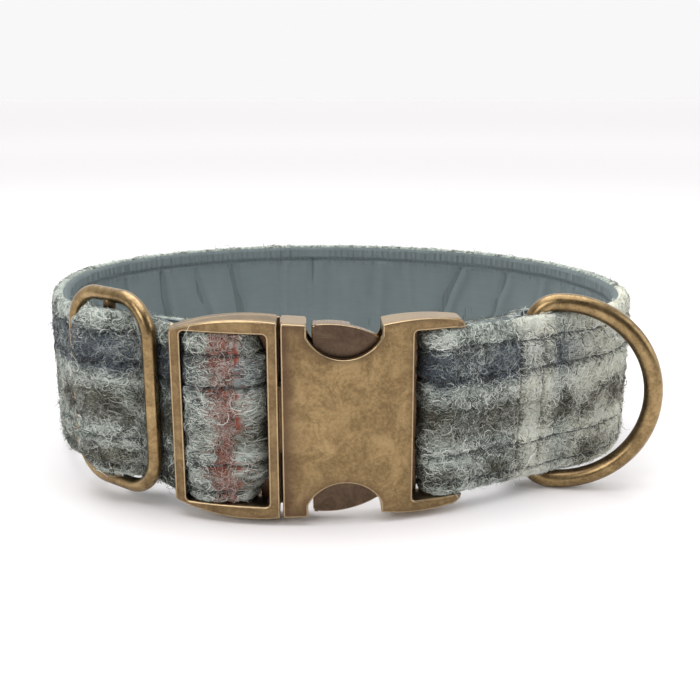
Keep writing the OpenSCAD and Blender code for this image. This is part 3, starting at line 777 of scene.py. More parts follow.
def make_lining(name, route, half):
    """A flat section carried along a strap, its inner side swollen by the relief and its upper
    rim raised a little where the strap comes back from the buckle. The hem value darkens the
    edges and the holes of the stitching."""
    s = route_steps(route)
    ridge = np.linspace(LINING_HALF - 5.2, LINING_HALF, 15)
    even = np.linspace(-LINING_HALF, LINING_HALF, 44)
    heights = np.unique(np.concatenate([even, ridge, -ridge]))
    inside = np.stack([np.full_like(heights, -HALF_T), heights], 1)
    outside = LINING_T - HALF_T - 0.05
    section = np.vstack([inside, [[outside, LINING_HALF], [outside, -LINING_HALF]]])
    grid_s, grid_z = np.broadcast_arrays(s[:, None], heights[None, :])
    soft = 1 - step_between(np.abs(grid_z), LINING_HALF - 0.35, LINING_HALF)
    keep = EDGE_SHARE + (1 - EDGE_SHARE) * soft
    off = np.repeat(section[None, :, 0], len(s), 0)
    off[:, : len(heights)] -= lining_relief(grid_s, grid_z, half) * keep
    points, faces, uv = strip(route, half, s, section, off)
    rim = step_between(section[:, 1], LINING_HALF - 3, LINING_HALF)
    lift = 0.5 * np.outer(1 - round_neck(s, half, 3, 3), rim)
    points[: lift.size, 2] += lift.ravel()
    faces = [f[:, ::-1] for f in faces]
    size = np.abs(uv[:, 1])
    ticks = 0.5 + 0.5 * np.cos(2 * math.pi * uv[:, 0] / 1.3)
    seam = hill(size, LINING_HALF - HEM_W, 0.5)
    hem = step_between(size, LINING_HALF - 1.0, LINING_HALF) * (0.45 + 0.55 * ticks)
    values = {"hem": np.clip(hem + 0.8 * seam * ticks, 0, 1)}
    return make_mesh(name, points, faces, uv, values, sharp=60)


def band_section(first, last, half_h, bevel=0.4):
    """A flat band's section between two offsets, its edges bevelled to a ridge."""
    middle, short = (first + last) / 2, half_h - bevel
    side = [[first, -short], [first, short], [middle, half_h]]
    return np.array([*side, [last, short], [last, -short], [middle, -half_h]])


def make_webbing(name, route, half):
    """A flat band carried along a strap, between its lining and its tweed."""
    s = route_steps(route, 0.15)
    play = 0.03
    section = band_section(HALF_T - TWEED_T - play, LINING_T - HALF_T + play, LIP - 0.05)
    off = np.repeat(section[None, :, 0], len(s), 0)
    points, faces, uv = strip(route, half, s, section, off)
    return make_mesh(name, points, faces, uv)


def end_caps(rows, columns):
    """The first and the last ring of a grid, each as one face."""
    ring = np.arange(columns)
    return np.stack([ring, ring[::-1] + (rows - 1) * columns])


def make_stitches(name, runs, thread_r=0.19, sides=6):
    """Lock stitches as short arched threads. Each run gives the middle points of its stitches
    with their directions along the seam and out of the cloth, and the stitch's length."""
    radius = thread_r * np.array([0.45, 1, 1, 1, 0.45])
    knots = len(radius)
    t = np.linspace(-0.5, 0.5, knots)
    arch = 0.26 * np.cos(1.05 * math.pi * t) - 0.12
    aside, up = radius * ahead(360 * np.arange(sides) / sides).T[..., None]
    one = [grid_faces(knots, sides, wrap_columns=True)[:, ::-1], end_caps(knots, sides)]
    parts = []
    for places, alongs, outs, length in runs:
        onward = (1.02 * length * t)[:, None]
        line = places[:, None] + alongs[:, None] * onward + outs[:, None] * arch[:, None]
        side = np.cross(alongs, outs)[:, None, None]
        ring = side * aside.T[..., None] + outs[:, None, None] * up.T[..., None]
        first = np.arange(len(places))[:, None, None] * knots * sides
        faces = [(part + first).reshape(-1, part.shape[1]) for part in one]
        parts.append(((line[:, :, None] + ring).reshape(-1, 3), faces, {}))
    points, faces, _ = gathered(parts)
    return make_mesh(name, points, faces)


def face_run(route, half, row_number):
    """Stitches on the tweed's face along one of its rows."""
    start, end = FACE_SPAN[half]
    s = np.arange(start + FACE_PITCH / 2, end, FACE_PITCH)
    z = FACE_ROWS[row_number] + face_wander(s, row_number, half)
    off = HALF_T + tweed_relief(s, z, half) + PROUD
    places, along, out = strap_places(route, s, z + glide_rise(s, half), off)
    return places, along, out, 2.1


def hem_run(route, half, sign):
    """Stitches on the lining, along the side of its rolled ridge away from the edge."""
    start, end = NECK_SPAN[half]
    s = np.arange(start + HEM_PITCH, end - HEM_PITCH / 2, HEM_PITCH)
    z = np.full_like(s, sign * (LINING_HALF - HEM_W + 0.15))
    places, along, out = strap_places(route, s, z, 0 * s - HALF_T - 0.02)
    return places, along, -out, 1.25


def pocket_run(k):
    """Upright stitches beside the D-ring's bar, on the tweed's face."""
    z = np.arange(-15.4, 15.6, UPRIGHT_PITCH)
    s = pocket_line(k, z)
    off = HALF_T + tweed_relief(s, z, "right") + PROUD
    places, _, out = strap_places(RIGHT, s, z, off)
    return places, np.tile(UP, (len(z), 1)), out, UPRIGHT_LENGTH


def tab_run(share):
    """Upright stitches that hold the tab to the strap's end, at a share of the tab's tail."""
    z = np.arange(1.6 - TAB_H / 2, TAB_H / 2 - 1, UPRIGHT_PITCH)
    onward, inward = ahead(RETURN_HEADING), leftward(RETURN_HEADING)
    place = GLIDE_MID + share * TAB_TAIL * onward + (TAB_R - TAB_T - 0.02) * inward
    places = np.append(place, MID_Z) + z[:, None] * UP
    out = np.tile(np.append(-inward, 0.0), (len(z), 1))
    return places, np.tile(UP, (len(z), 1)), out, UPRIGHT_LENGTH


def make_tab():
    """Webbing tab: a flat band carried along a straight tail and once round the tri-glide's
    middle bar."""
    radius = TAB_R - TAB_T / 2
    turn = GLIDE_MID + radius * ahead(RETURN_HEADING + np.linspace(90, 90 + 330, 56))
    along = np.linspace(TAB_TAIL, 0.4, 12)[:, None]
    tail = GLIDE_MID + radius * leftward(RETURN_HEADING) + along * ahead(RETURN_HEADING)
    places = np.vstack([tail, turn])
    heading = unit(np.gradient(places, axis=0))
    out = np.stack([heading[:, 1], -heading[:, 0]], -1)
    section = band_section(-TAB_T / 2, TAB_T / 2, TAB_H / 2)
    shape = len(places), len(section)
    points = np.empty((*shape, 3))
    points[..., :2] = places[:, None] + section[None, :, :1] * out[:, None]
    points[..., 2] = MID_Z + section[:, 1]
    faces = [grid_faces(*shape, wrap_columns=True), end_caps(*shape)[:, ::-1]]
    uv = np.stack(np.broadcast_arrays(running(places)[:, None], section[None, :, 1]), -1)
    return make_mesh(
        "return_tab_webbing", points.reshape(-1, 3), faces, uv.reshape(-1, 2), sharp=50
    )


# ---- Metal -------------------------------------------------------------------------


def corner_arc(before, corner, after, radius):
    """Replaces a corner of an outline by an arc that touches both of its sides."""
    a, b = np.subtract(before, corner), np.subtract(after, corner)
    a, b = a / np.linalg.norm(a), b / np.linalg.norm(b)
    half = math.acos(np.clip(a @ b, -1, 1)) / 2
    reach = radius / math.tan(half)
    centre = corner + (a + b) / np.linalg.norm(a + b) * (radius / math.sin(half))
    p, q = corner + a * reach - centre, corner + b * reach - centre
    start = math.atan2(p[1], p[0])
    turn = (math.atan2(q[1], q[0]) - start + math.pi) % (2 * math.pi) - math.pi
    return centre + radius * ahead(np.degrees(start + turn * np.linspace(0, 1, 8)))


def rounded(points, radii):
    """An outline with each corner rounded by its own radius; a radius of nothing keeps it."""
    points = np.asarray(points, float)
    out = []
    for before, corner, after, radius in zip(
        np.roll(points, 1, 0), points, np.roll(points, -1, 0), radii
    ):
        out.append(corner_arc(before, corner, after, radius) if radius else corner)
    return np.vstack(out)


def mirrored(upper):
    """An outline from its upper half, given from its right end to its left."""
    return np.vstack([upper, upper[::-1] * [1, -1]])


def rounded_pair(upper, radii):
    """An outline from its upper half, with some corners rounded: radii by corner number."""
    half = np.zeros(len(upper))
    half[list(radii)] = list(radii.values())
    return rounded(mirrored(upper), np.concatenate([half, half[::-1]]))


def placed(loop, sign):
    """A loop, or its mirror image below the middle that turns the same way."""
    return loop if sign > 0 else (loop * [1, -1])[::-1]


def upright_loop(first, last, half_h):
    """A rectangle from its first side, upwards, to its last side, downwards."""
    return np.array([[first, -half_h], [first, half_h], [last, half_h], [last, -half_h]], float)


def spread(outline, step=0.6):
    """Adds points along an outline's sides so that none is longer than step."""
    after = np.roll(outline, -1, 0)
    out = []
    for p, q in zip(outline, after):
        n = max(1, math.ceil(np.linalg.norm(q - p) / step))
        out.append(p + (q - p) * (np.arange(n) / n)[:, None])
    return np.vstack(out)


def inset(outline, distance):
    """The outline moved inwards, each point along the mean normal of its two sides."""
    both = unit(outline - np.roll(outline, 1, 0)) + unit(np.roll(outline, -1, 0) - outline)
    normal = np.stack([-both[:, 1], both[:, 0]], 1)
    size = np.linalg.norm(normal, axis=1, keepdims=True)
    return outline + unit(normal) * distance / np.clip(size / 2, 0.55, 1)


def within(points, loops):
    """Whether each point lies inside the loops, by counting the sides crossed on one side."""
    x, z = points[:, 0], points[:, 1]
    odd = np.zeros(len(points), bool)
    for loop in loops:
        a, b = loop, np.roll(loop, -1, 0)
        crosses = (a[:, 1] > z[:, None]) != (b[:, 1] > z[:, None])
        with np.errstate(divide="ignore", invalid="ignore"):
            at = a[:, 0] + (z[:, None] - a[:, 1]) * (b - a)[:, 0] / (b - a)[:, 1]
        odd ^= (np.sum(crosses & (x[:, None] < at), axis=1) % 2).astype(bool)
    return odd


def edge_distance(points, loops):
    """Distance from each point to the nearest side of the loops."""
    best = np.full(len(points), 1e9)
    for loop in loops:
        a, b = loop, np.roll(loop, -1, 0)
        ab = b - a
        t = np.einsum("ijk,jk->ij", points[:, None] - a[None], ab) / (np.sum(ab * ab, 1) + 1e-12)
        foot = a[None] + np.clip(t, 0, 1)[..., None] * ab[None]
        best = np.minimum(best, np.linalg.norm(points[:, None] - foot, axis=2).min(1))
    return best


def cap(loops, depth, facing, step, outline):
    """Fills the region inside the loops with triangles on an even grid. depth gives y at x.
    facing is -1 for a face towards the front and 1 for one towards the back."""
    spans = [np.arange(a, b, step) for a, b in zip(loops[0].min(0), loops[0].max(0))]
    inner = np.stack(np.meshgrid(*spans, indexing="ij"), -1).reshape(-1, 2)
    inner = inner[within(inner, loops)]
    if len(inner):
        inner = inner[edge_distance(inner, loops) > 0.45 * step]
    flat = np.vstack(loops + [inner])
    edges, count = [], 0
    for loop in loops:
        ring = np.arange(len(loop))
        edges += (np.stack([ring, (ring + 1) % len(loop)], 1) + count).tolist()
        count += len(loop)
    found = delaunay_2d_cdt([tuple(p) for p in flat.tolist()], edges, [], 0, 1e-7, False)
    where, triangles = np.array([tuple(p) for p in found[0]]), np.array(found[2])
    middle = where[triangles].mean(1)
    triangles = triangles[within(middle, loops)]
    a, b, c = where[triangles.T]
    area = (b - a)[:, 0] * (c - a)[:, 1] - (b - a)[:, 1] * (c - a)[:, 0]
    # seen from the front, x runs right and z up, so a turn to the left faces the front
    wrong = (area < 0) if facing < 0 else (area > 0)
    triangles[wrong] = triangles[wrong][:, ::-1]
    points = np.stack([where[:, 0], depth(where[:, 0]), where[:, 1] + MID_Z], 1)
    inwards = edge_distance(where, outline)
    # Painted shade on the metal: front faces darken towards their edges and rear faces are shaded all
    # over; the worn and highlighted value is a thin edge line of wear and painted highlight
    shade = 0.72 * np.exp(-inwards / 2.6) if facing < 0 else np.full(len(points), 0.7)
    return points, [triangles], {"wear_and_highlight": np.exp(-inwards / 0.32), "shade": shade}


# Edges as pairs of inset and depth, from the face to the wall
ROUND_EDGE = [(0.42, 0.0), (0.29, 0.025), (0.15, 0.09), (0.055, 0.22), (0.0, 0.42)]
SMALL_EDGE = [(0.3, 0.0), (0.16, 0.05), (0.05, 0.16), (0.0, 0.32)]
NO_EDGE = [(0.0, 0.0)]
# Wear on the walls, and painted shade on the outer wall past this depth; holes get painted shade in full
WALL_WEAR, WALL_SHADE, SHADE_FROM = 0.35, 0.35, 0.2


def plate(loops, front, back, front_edge=ROUND_EDGE, back_edge=SMALL_EDGE, step=1.0, walls=3):
    """A plate between two depths, given at each x. Its outline loops are carried from the front
    cap over a rounded edge, down the wall and over the rear edge to the rear cap. The outer loop
    turns left seen from the front, and holes turn right."""
    loops = [spread(loop) for loop in loops]
    front_d, back_d = front_edge[-1][1], back_edge[-1][1]

    def wall(share):
        """Depth at x, a share of the way from the front edge to the rear one."""
        return lambda x: (front(x) + front_d) * (1 - share) + (back(x) - back_d) * share

    # each ring's inset, depth at x, wear and highlight, and whether it is deep enough for painted shade
    rings = [(e, lambda x, d=d: front(x) + d, 1.0, d > SHADE_FROM) for e, d in front_edge]
    rings += [(0.0, wall(k / walls), WALL_WEAR, True) for k in range(1, walls)]
    rings += [(e, lambda x, d=d: back(x) - d, 1.0, d > SHADE_FROM) for e, d in back_edge[::-1]]
    wear_and_highlight, deep = np.array([ring[2:] for ring in rings]).T
    parts = []
    for k, loop in enumerate(loops):
        flats = [inset(loop, ring[0]) for ring in rings]
        points = [
            np.stack([flat[:, 0], ring[1](flat[:, 0]), flat[:, 1] + MID_Z], 1)
            for flat, ring in zip(flats, rings)
        ]
        quads = grid_faces(len(rings), len(loop), wrap_columns=True)
        shade = deep * (1.0 if k else WALL_SHADE)
        values = {"wear_and_highlight": np.repeat(wear_and_highlight, len(loop)), "shade": np.repeat(shade, len(loop))}
        parts.append((np.vstack(points), [quads], values))
    for edge, depth, facing in ((front_edge, front, -1), (back_edge, back, 1)):
        rim = [inset(loop, edge[0][0]) for loop in loops]
        parts.append(cap(rim, depth, facing, step, loops))
    return gathered(parts)


def slot_bar(outline):
    """A bar with the given section seen from above, upright across the buckle's opening, with
    its ends a little inside the frame."""
    outline = spread(outline, 0.5)
    reach, edge = SLOT_HALF + 0.5, 0.02
    heights = [(edge, -reach), (0, edge - reach), (0, 0), (0, reach - edge), (edge, reach)]
    shape = len(heights), len(outline)
    rings = [np.insert(inset(outline, e), 2, MID_Z + h, axis=1) for e, h in heights]
    faces = [grid_faces(*shape, wrap_columns=True)[:, ::-1], end_caps(*shape)[:, ::-1]]
    points = np.vstack(rings)
    # The bar sits deep in the buckle, so it gets painted shade all over
    return points, faces, {"wear_and_highlight": np.full(len(points), 0.3), "shade": np.full(len(points), 0.8)}


def tube(path, radius, closed=True, sides=28, normal=(0, 1, 0)):
    """Carries a circle along a path. The normal is square to the path, and is one for all its
    points or one for each. The worn and highlighted value is strongest on the side away from the path's
    middle, standing for rubbing and a painted highlight, and the shade value, a painted shade, on the
    side towards it."""
    path = np.asarray(path, float)
    if closed:
        tangent = np.roll(path, -1, 0) - np.roll(path, 1, 0)
    else:
        tangent = np.gradient(path, axis=0)
    normal = np.broadcast_to(normal, path.shape)
    side = np.cross(unit(tangent), normal)
    aside, up = ahead(360 * np.arange(sides) / sides).T[..., None]
    ring = side[:, None] * aside + normal[:, None] * up
    points = path[:, None] + radius * ring
    shape = len(path), sides
    faces = [grid_faces(*shape, wrap_rows=closed, wrap_columns=True)]
    if not closed:
        faces.append(end_caps(*shape))
    facing = np.sum(ring * unit(points - path.mean(0)), axis=2).ravel()
    values = {"wear_and_highlight": np.clip(facing, 0, 1) ** 3, "shade": np.clip(-facing, 0, 1)}
    return points.reshape(-1, 3), faces, values


def turned(points, angle, place):
    """Turns points about the upright axis and moves them to a place."""
    c, s = ahead(angle)
    turn = np.array([[c, s, 0], [-s, c, 0], [0, 0, 1]])
    return points @ turn + [*place, MID_Z]


def outwards(piece):
    """Recalculates a closed piece's normals so that they point out of it."""
    work = bmesh.new()
    work.from_mesh(piece.data)
    bmesh.ops.recalc_face_normals(work, faces=work.faces)
    work.to_mesh(piece.data)
    work.free()
    return piece


def barrel_z(x, crest, height, radius):
    """Height at x of a wide arc whose crest is at half the given height."""
    return height / 2 - radius + np.sqrt(radius**2 - np.square(x - crest))


def darken_gap(points, values, x0, x1, half_h=SLOT_HALF):
    """Full painted shade on the walls of a gap between two places, behind the front edge."""
    across = (points[:, 0] > x0 - 0.05) & (points[:, 0] < x1 + 0.05)
    along = np.abs(points[:, 2] - MID_Z) < half_h + 0.05
    behind = points[:, 1] > front_y(points[:, 0]) + 0.45
    values["shade"] = np.where(across & along & behind, 1.0, values["shade"])


def rear_lip(x0, x1, half_h=SLOT_HALF + 0.4):
    """Thin upright strip along the buckle's back, between two places."""
    loop, front = upright_loop(x1, x0, half_h), level_y(back_y(x0) - LIP_T)
    return plate([loop], front, back_y, SMALL_EDGE, SMALL_EDGE, walls=1)


def make_male_half():
    """Plates between the buckle's curved front and back: a frame with a barrel-shaped edge
    round the window, rails behind it, the loop's bar, rear lips, and the tongue with its wide
    end."""
    x = np.concatenate([[MALE_RIGHT], np.linspace(MALE_RIGHT - 1.4, 2.2 - END_X, 36), [-END_X]])
    crown = np.stack([x, barrel_z(x, MALE_CREST, MALE_H, BARREL_R)], 1)
    corners = {0: 0.6, len(crown) - 1: 1.2}
    window = rounded(upright_loop(WINDOW_LEFT, WINDOW_RIGHT, SLOT_HALF), [1.0] * 4)
    notch = [[-END_X, SLOT_HALF], [WINDOW_RIGHT, SLOT_HALF]]
    rails = rounded_pair(np.vstack([crown, notch]), corners)
    bar_end = [LOOP_REACH, 0] + MALE_BAR_R * ahead(np.linspace(-90, 90, 13))
    bar = np.vstack([bar_end, -bar_end]) + [LOOP_BAR_X, LOOP_BAR_Y]
    web = upright_loop(WIDE_FROM + 0.4, WINDOW_RIGHT + 1, TONGUE_H / 2)
    wide = rounded(upright_loop(TONGUE_TIP, WIDE_FROM, TONGUE_END_H / 2), [1.2] * 4)
    mid_y = level_y(front_y(END_X) + FRAME_T)
    outer_y, inner_y = hinge_shell_y(TONGUE_OUT_R), hinge_shell_y(TONGUE_IN_R)
    wide_y = hinge_shell_y(PASSAGE_MID_R - 0.1)
    parts = [
        plate([rounded_pair(crown, corners), window], front_y, mid_y, back_edge=NO_EDGE),
        plate([rails], mid_y, back_y, front_edge=NO_EDGE),
        slot_bar(bar),
        rear_lip(WINDOW_RIGHT - WINDOW_LIP, WINDOW_RIGHT + 0.4),
        rear_lip(MALE_RIGHT - 0.5, FEMALE_LEFT - 0.15, MALE_H / 2 - 0.8),
        plate([web], outer_y, inner_y, SMALL_EDGE, SMALL_EDGE),
        plate([wide], wide_y, inner_y, SMALL_EDGE, SMALL_EDGE),
    ]
    points, faces, values = gathered(parts)
    # Painted shade on the window's walls and on the end that faces the female half
    darken_gap(points, values, WINDOW_LEFT, WINDOW_RIGHT)
    darken_gap(points, values, MALE_RIGHT, MALE_RIGHT + 1, MALE_H)
    return make_mesh("buckle_male_half", points, faces, values=values, sharp=32)


def female_edges():
    """The upper half of the female body's outline, from the slot to the left end: the arm's
    rounded end and barrel-shaped edge, the scoop over the latch, and the lobe."""
    centre = np.array([END_X - END_ROUND, 0.0])
    centre[1] = barrel_z(centre[0], ARM_CREST, FEMALE_H, BARREL_R) - END_ROUND
    first = math.degrees(math.asin((SLOT_HALF - centre[1]) / END_ROUND))
    end = centre + END_ROUND * ahead(np.linspace(first, 73, 9))
    x = np.linspace(end[-1, 0] - 0.4, CUTOUT_RIGHT + 1.2, 24)
    x = np.append(x, CUTOUT_RIGHT)
    arm = np.vstack([end, np.stack([x, barrel_z(x, ARM_CREST, FEMALE_H, BARREL_R)], 1)])
    drop = math.sqrt(CUTOUT_R**2 - (CUTOUT_W / 2) ** 2)
    spring = math.degrees(math.atan2(-drop, CUTOUT_W / 2))
    scoop_middle = [CUTOUT_MID, CUTOUT_FLOOR + CUTOUT_R]
    scoop = scoop_middle + CUTOUT_R * ahead(np.linspace(spring, -180 - spring, 30))
    x = np.linspace(CUTOUT_LEFT - 1.2, FEMALE_LEFT + 1.2, 6)
    x = np.concatenate([[CUTOUT_LEFT], x, [FEMALE_LEFT]])
    lobe = np.stack([x, barrel_z(x, LOBE_CREST, LOBE_H, LOBE_R)], 1)
    return arm, scoop, lobe


def make_female_half():
    """Plates between the buckle's curved front and back: two shells with the passage between
    them, the block on its right and a rail above and below it, the strap's bar and a rear
    lip."""
    arm, scoop, lobe = female_edges()
    corner, mouth = [[SLOT_LEFT, SLOT_HALF]], MOUTH_H / 2
    lobe_from = 1 + len(arm) + len(scoop)
    outline = rounded_pair(
        np.vstack([corner, arm, scoop, lobe]), {0: 0.8, len(arm): 0.5, lobe_from: 0.5, -1: 0.6}
    )
    side = [[CUTOUT_RIGHT, mouth], [PASSAGE_END, mouth]]
    block = rounded_pair(np.vstack([corner, arm, side]), {0: 0.8, len(arm): 0.5})
    rail = np.vstack([lobe, [[FEMALE_LEFT, mouth], [CUTOUT_LEFT, mouth]]])
    passage_front = hinge_shell_y(PASSAGE_MID_R + PASSAGE_T / 2)
    passage_back = hinge_shell_y(PASSAGE_MID_R - PASSAGE_T / 2)
    parts = [
        plate([outline], front_y, passage_front, back_edge=NO_EDGE, walls=1),
        plate([outline], passage_back, back_y, front_edge=NO_EDGE, walls=1),
    ]
    for loop in (block, rail, placed(rail, -1)):
        parts.append(plate([loop], passage_front, passage_back, NO_EDGE, NO_EDGE, walls=1))
    parts.append(slot_bar(circle(FRONT_BAR, FEMALE_BAR_R, 28)))
    parts.append(rear_lip(SLOT_LEFT - 0.4, SLOT_LEFT + SLOT_LIP))
    points, faces, values = gathered(parts)
    # Painted shade that deepens towards the lobe's left end, and in the strap's slot and on the end that
    # faces the male half
    values["shade"] += 0.4 * hill(points[:, 0], FEMALE_LEFT, 7)
    darken_gap(points, values, SLOT_LEFT, END_X)
    darken_gap(points, values, FEMALE_LEFT - 1, FEMALE_LEFT, MALE_H)
    return make_mesh("buckle_female_half", points, faces, values=values, sharp=32)


def latch_outline(x0, x1):
    """A latch's outline between two places: a level floor under a wide arc."""
    x = np.linspace(x1, x0, 24)
    z = LATCH_TOP - LATCH_R + np.sqrt(LATCH_R**2 - np.square(x - LATCH_CREST))
    return np.vstack([[[x0, LATCH_FLOOR], [x1, LATCH_FLOOR]], np.stack([x, z], 1)])


def make_latch(name, sign):
    """A latch: a full-thickness head with a curved outer edge, and a thinner part with an eye
    round its pin."""
    head = latch_outline(CUTOUT_LEFT + 1.2, LATCH_FULL_TO)
    head = rounded(head, [0.4] + [0.0] * (len(head) - 2) + [0.8])
    thin = latch_outline(LATCH_FULL_TO - 1, CUTOUT_RIGHT - 0.5)
    eye = circle((PIN_X, PIN_Z), EYE_R, 36)
    front, back = hinge_shell_y(TONGUE_OUT_R), hinge_shell_y(TONGUE_IN_R)
    lap = hinge_shell_y(PASSAGE_MID_R + 0.1)
    points, faces, values = gathered(
        [
            plate([placed(loop, sign)], front, rear, SMALL_EDGE, SMALL_EDGE, step=0.8)
            for loop, rear in ((head, back), (thin, lap), (eye, lap))
        ]
    )
    # The walls and the back get the worn and highlighted value almost in full, a painted highlight for
    # the lit bevel, and no painted shade
    rubbed_and_lit = 0.9 * (points[:, 1] > front(points[:, 0]) + 0.1)
    values["wear_and_highlight"] = np.maximum(values["wear_and_highlight"], rubbed_and_lit)
    values["shade"] = 0 * rubbed_and_lit
    return make_mesh(name, points, faces, values=values, sharp=32)


def make_spring(name, sign):
    """A small coil: a wire carried along a helix."""
    turns, wire, radius = 6.5, 0.28, 1.4
    t = np.linspace(0, 1, 240)
    out = np.insert(ahead(360 * turns * t), 2, 0, axis=1)
    foot = TONGUE_H / 2 + 0.05 + wire
    z = foot + (LATCH_FLOOR - 0.1 - TONGUE_H / 2 - 2 * wire) * t
    middle = [SPRING_X, hinge_shell_y(PASSAGE_MID_R)(SPRING_X), MID_Z]
    path = middle + radius * out + sign * z[:, None] * UP
    points, faces, _ = tube(path, wire, closed=False, sides=8, normal=out)
    return outwards(make_mesh(name, points, faces))


def side_points(start, end, steps):
    """Points on a straight side, without its end."""
    return np.linspace(start, end, steps, endpoint=False)


def make_d_ring():
    """A wire carried round a half circle with two legs, two round corners and a flat side."""
    h, c = D_MID_H, D_CORNER
    line = np.vstack(
        [
            bend_points((D_LEG, 0), h, -90, 180, 90),
            side_points((D_LEG, h), (c, h), 8),
            bend_points((c, h - c), c, 90, 90, 14),
            side_points((0, h - c), (0, c - h), 40),
            bend_points((c, c - h), c, 180, 90, 14),
            side_points((c, -h), (D_LEG, -h), 8),
        ]
    )
    points, faces, values = tube(np.insert(line, 1, 0, axis=1), D_WIRE_R, sides=36)
    points = turned(points, LEAVE_ANGLE - D_ANGLE, D_BAR)
    return outwards(make_mesh("d_ring_wire", points, faces, values=values))


def make_tri_glide():
    """A wire carried round a rectangle with round corners, and a straight bar across it."""
    reach, h, c = GLIDE_SPAN / 2, GLIDE_H / 2 - GLIDE_WIRE_R, GLIDE_CORNER
    half = np.vstack(
        [
            side_points((reach, c - h), (reach, h - c), 30),
            bend_points((reach - c, h - c), c, 0, 90, 20),
            side_points((reach - c, h), (c - reach, h), 10),
            bend_points((c - reach, h - c), c, 90, 90, 20),
        ]
    )
    line = np.insert(np.vstack([half, -half]), 1, 0, axis=1)
    loop = tube(line, GLIDE_WIRE_R, sides=32)
    bar = tube(np.linspace(-h, h, 24)[:, None] * UP, GLIDE_BAR_R, closed=False, sides=24)
    # Painted shade all over the middle bar, and none on the frame
    bar[2]["shade"] = np.ones(len(bar[0]))
    loop[2]["shade"] = np.zeros(len(loop[0]))
    points, faces, values = gathered([loop, bar])
    points = turned(points, GLIDE_HEADING - 180, GLIDE_MID) + GLIDE_LIFT * UP
    return outwards(make_mesh("tri_glide_frame", points, faces, values=values))


# ---- Finishes ----------------------------------------------------------------------


class Value:
    """A number that varies over a surface. Arithmetic on it adds Math nodes."""

    def __init__(self, finish, socket):
        self.finish, self.socket = finish, socket

    def __add__(self, other):
        return self.finish.maths("ADD", self, other)

    def __sub__(self, other):
        return self.finish.maths("SUBTRACT", self, other)

    def __rsub__(self, other):
        return self.finish.maths("SUBTRACT", other, self)

    def __mul__(self, other):
        return self.finish.maths("MULTIPLY", self, other)

    def __truediv__(self, other):
        return self.finish.maths("DIVIDE", self, other)

    def __pow__(self, other):
        return self.finish.maths("POWER", self, other)

    __radd__, __rmul__ = __add__, __mul__

    def above(self, low, high):
        """Nothing below low, one above high, and an eased step between."""
        node = self.finish.add(
            "ShaderNodeMapRange",
            {"interpolation_type": "SMOOTHSTEP"},
            {"Value": self, "From Min": low, "From Max": high},
        )
        return Value(self.finish, node.outputs["Result"])

    def clipped(self):
        """The number kept between nothing and one."""
        return self.finish.maths("ADD", self, 0.0, use_clamp=True)


class Finish:
    """A material or a world, and the nodes that make it."""

    def __init__(self, name, kind="materials", shader="Principled BSDF"):
        self.owner = getattr(bpy.data, kind).new(name)
        self.owner.use_nodes = True
        self.tree = self.owner.node_tree
        self.shader = self.tree.nodes[shader]

    def add(self, kind, settings=None, values=None):
        """Any node: its settings first, then the values or links of its sockets."""
        node = self.tree.nodes.new(kind)
        for key, value in (settings or {}).items():
            setattr(node, key, value)
        for key, value in (values or {}).items():
            self.put(node.inputs[key], value)
        return node

    def put(self, socket, value):
        """Links a socket to another, or gives it a plain value."""
        value = getattr(value, "socket", value)
        if isinstance(value, bpy.types.NodeSocket):
            self.tree.links.new(value, socket)
        else:
            socket.default_value = value

    def maths(self, operation, first, second, **settings):
        """One sum of two numbers."""
        settings = {"operation": operation, **settings}
        node = self.add("ShaderNodeMath", settings, {0: first, 1: second})
        return Value(self, node.outputs[0])

    def mix(self, share, first, second):
        """A colour between two colours."""
        values = {"Factor": share, "A": first, "B": second}
        return self.add("ShaderNodeMix", {"data_type": "RGBA"}, values).outputs["Result"]

    def place(self, stretch=(1, 1, 1), turn=(0, 0, 0), uv=False):
        """Places on the piece, in metres: its own shape's, or its cloth's length and height.
        Stretch multiplies them, so a pattern gets finer by it."""
        if uv:
            source = self.add("ShaderNodeUVMap", {"uv_map": "cloth"}).outputs["UV"]
        else:
            source = self.add("ShaderNodeTexCoord").outputs["Object"]
        node = self.add("ShaderNodeMapping", {}, {"Vector": source, "Scale": stretch, "Rotation": turn})
        return node.outputs["Vector"]

    def noise(self, where, scale, detail=3.0, rough=0.55, warp=0.0):
        """Cloudy noise; scale is its cells to a metre."""
        values = {"Vector": where, "Scale": scale, "Detail": detail}
        node = self.add("ShaderNodeTexNoise", {}, {**values, "Roughness": rough, "Distortion": warp})
        return Value(self, node.outputs["Fac"])

    def cells(self, where, scale):
        """Distance from the middle of the nearest of many random cells."""
        node = self.add("ShaderNodeTexVoronoi", {"feature": "F1"}, {"Vector": where, "Scale": scale})
        return Value(self, node.outputs["Distance"])

    def waves(self, where, scale, direction="X", warp=0.0, warp_scale=1.0):
        """Soft bands across one direction."""
        node = self.add(
            "ShaderNodeTexWave",
            {"wave_type": "BANDS", "bands_direction": direction},
            {"Vector": where, "Scale": scale, "Distortion": warp, "Detail Scale": warp_scale},
        )
        return Value(self, node.outputs["Fac"])

    def attribute(self, name):
        """One of the named values that a piece has for each of its points."""
        return Value(self, self.add("ShaderNodeAttribute", {"attribute_name": name}).outputs["Fac"])

    def bump(self, height, strength, distance):
        """A normal tilted by a height; distance is the height's full range in metres."""
        values = {"Height": height, "Strength": strength, "Distance": distance}
        return self.add("ShaderNodeBump", {}, values).outputs["Normal"]

    def set(self, **values):
        """Sets the shader's sockets, named with underscores for spaces."""
        for key, value in values.items():
            self.put(self.shader.inputs[key.replace("_", " ")], value)
        return self.owner


def rgba(colour, share=1.0):
    """A colour with its alpha, darkened to a share of itself."""
    return (*(c * share for c in colour), 1.0)


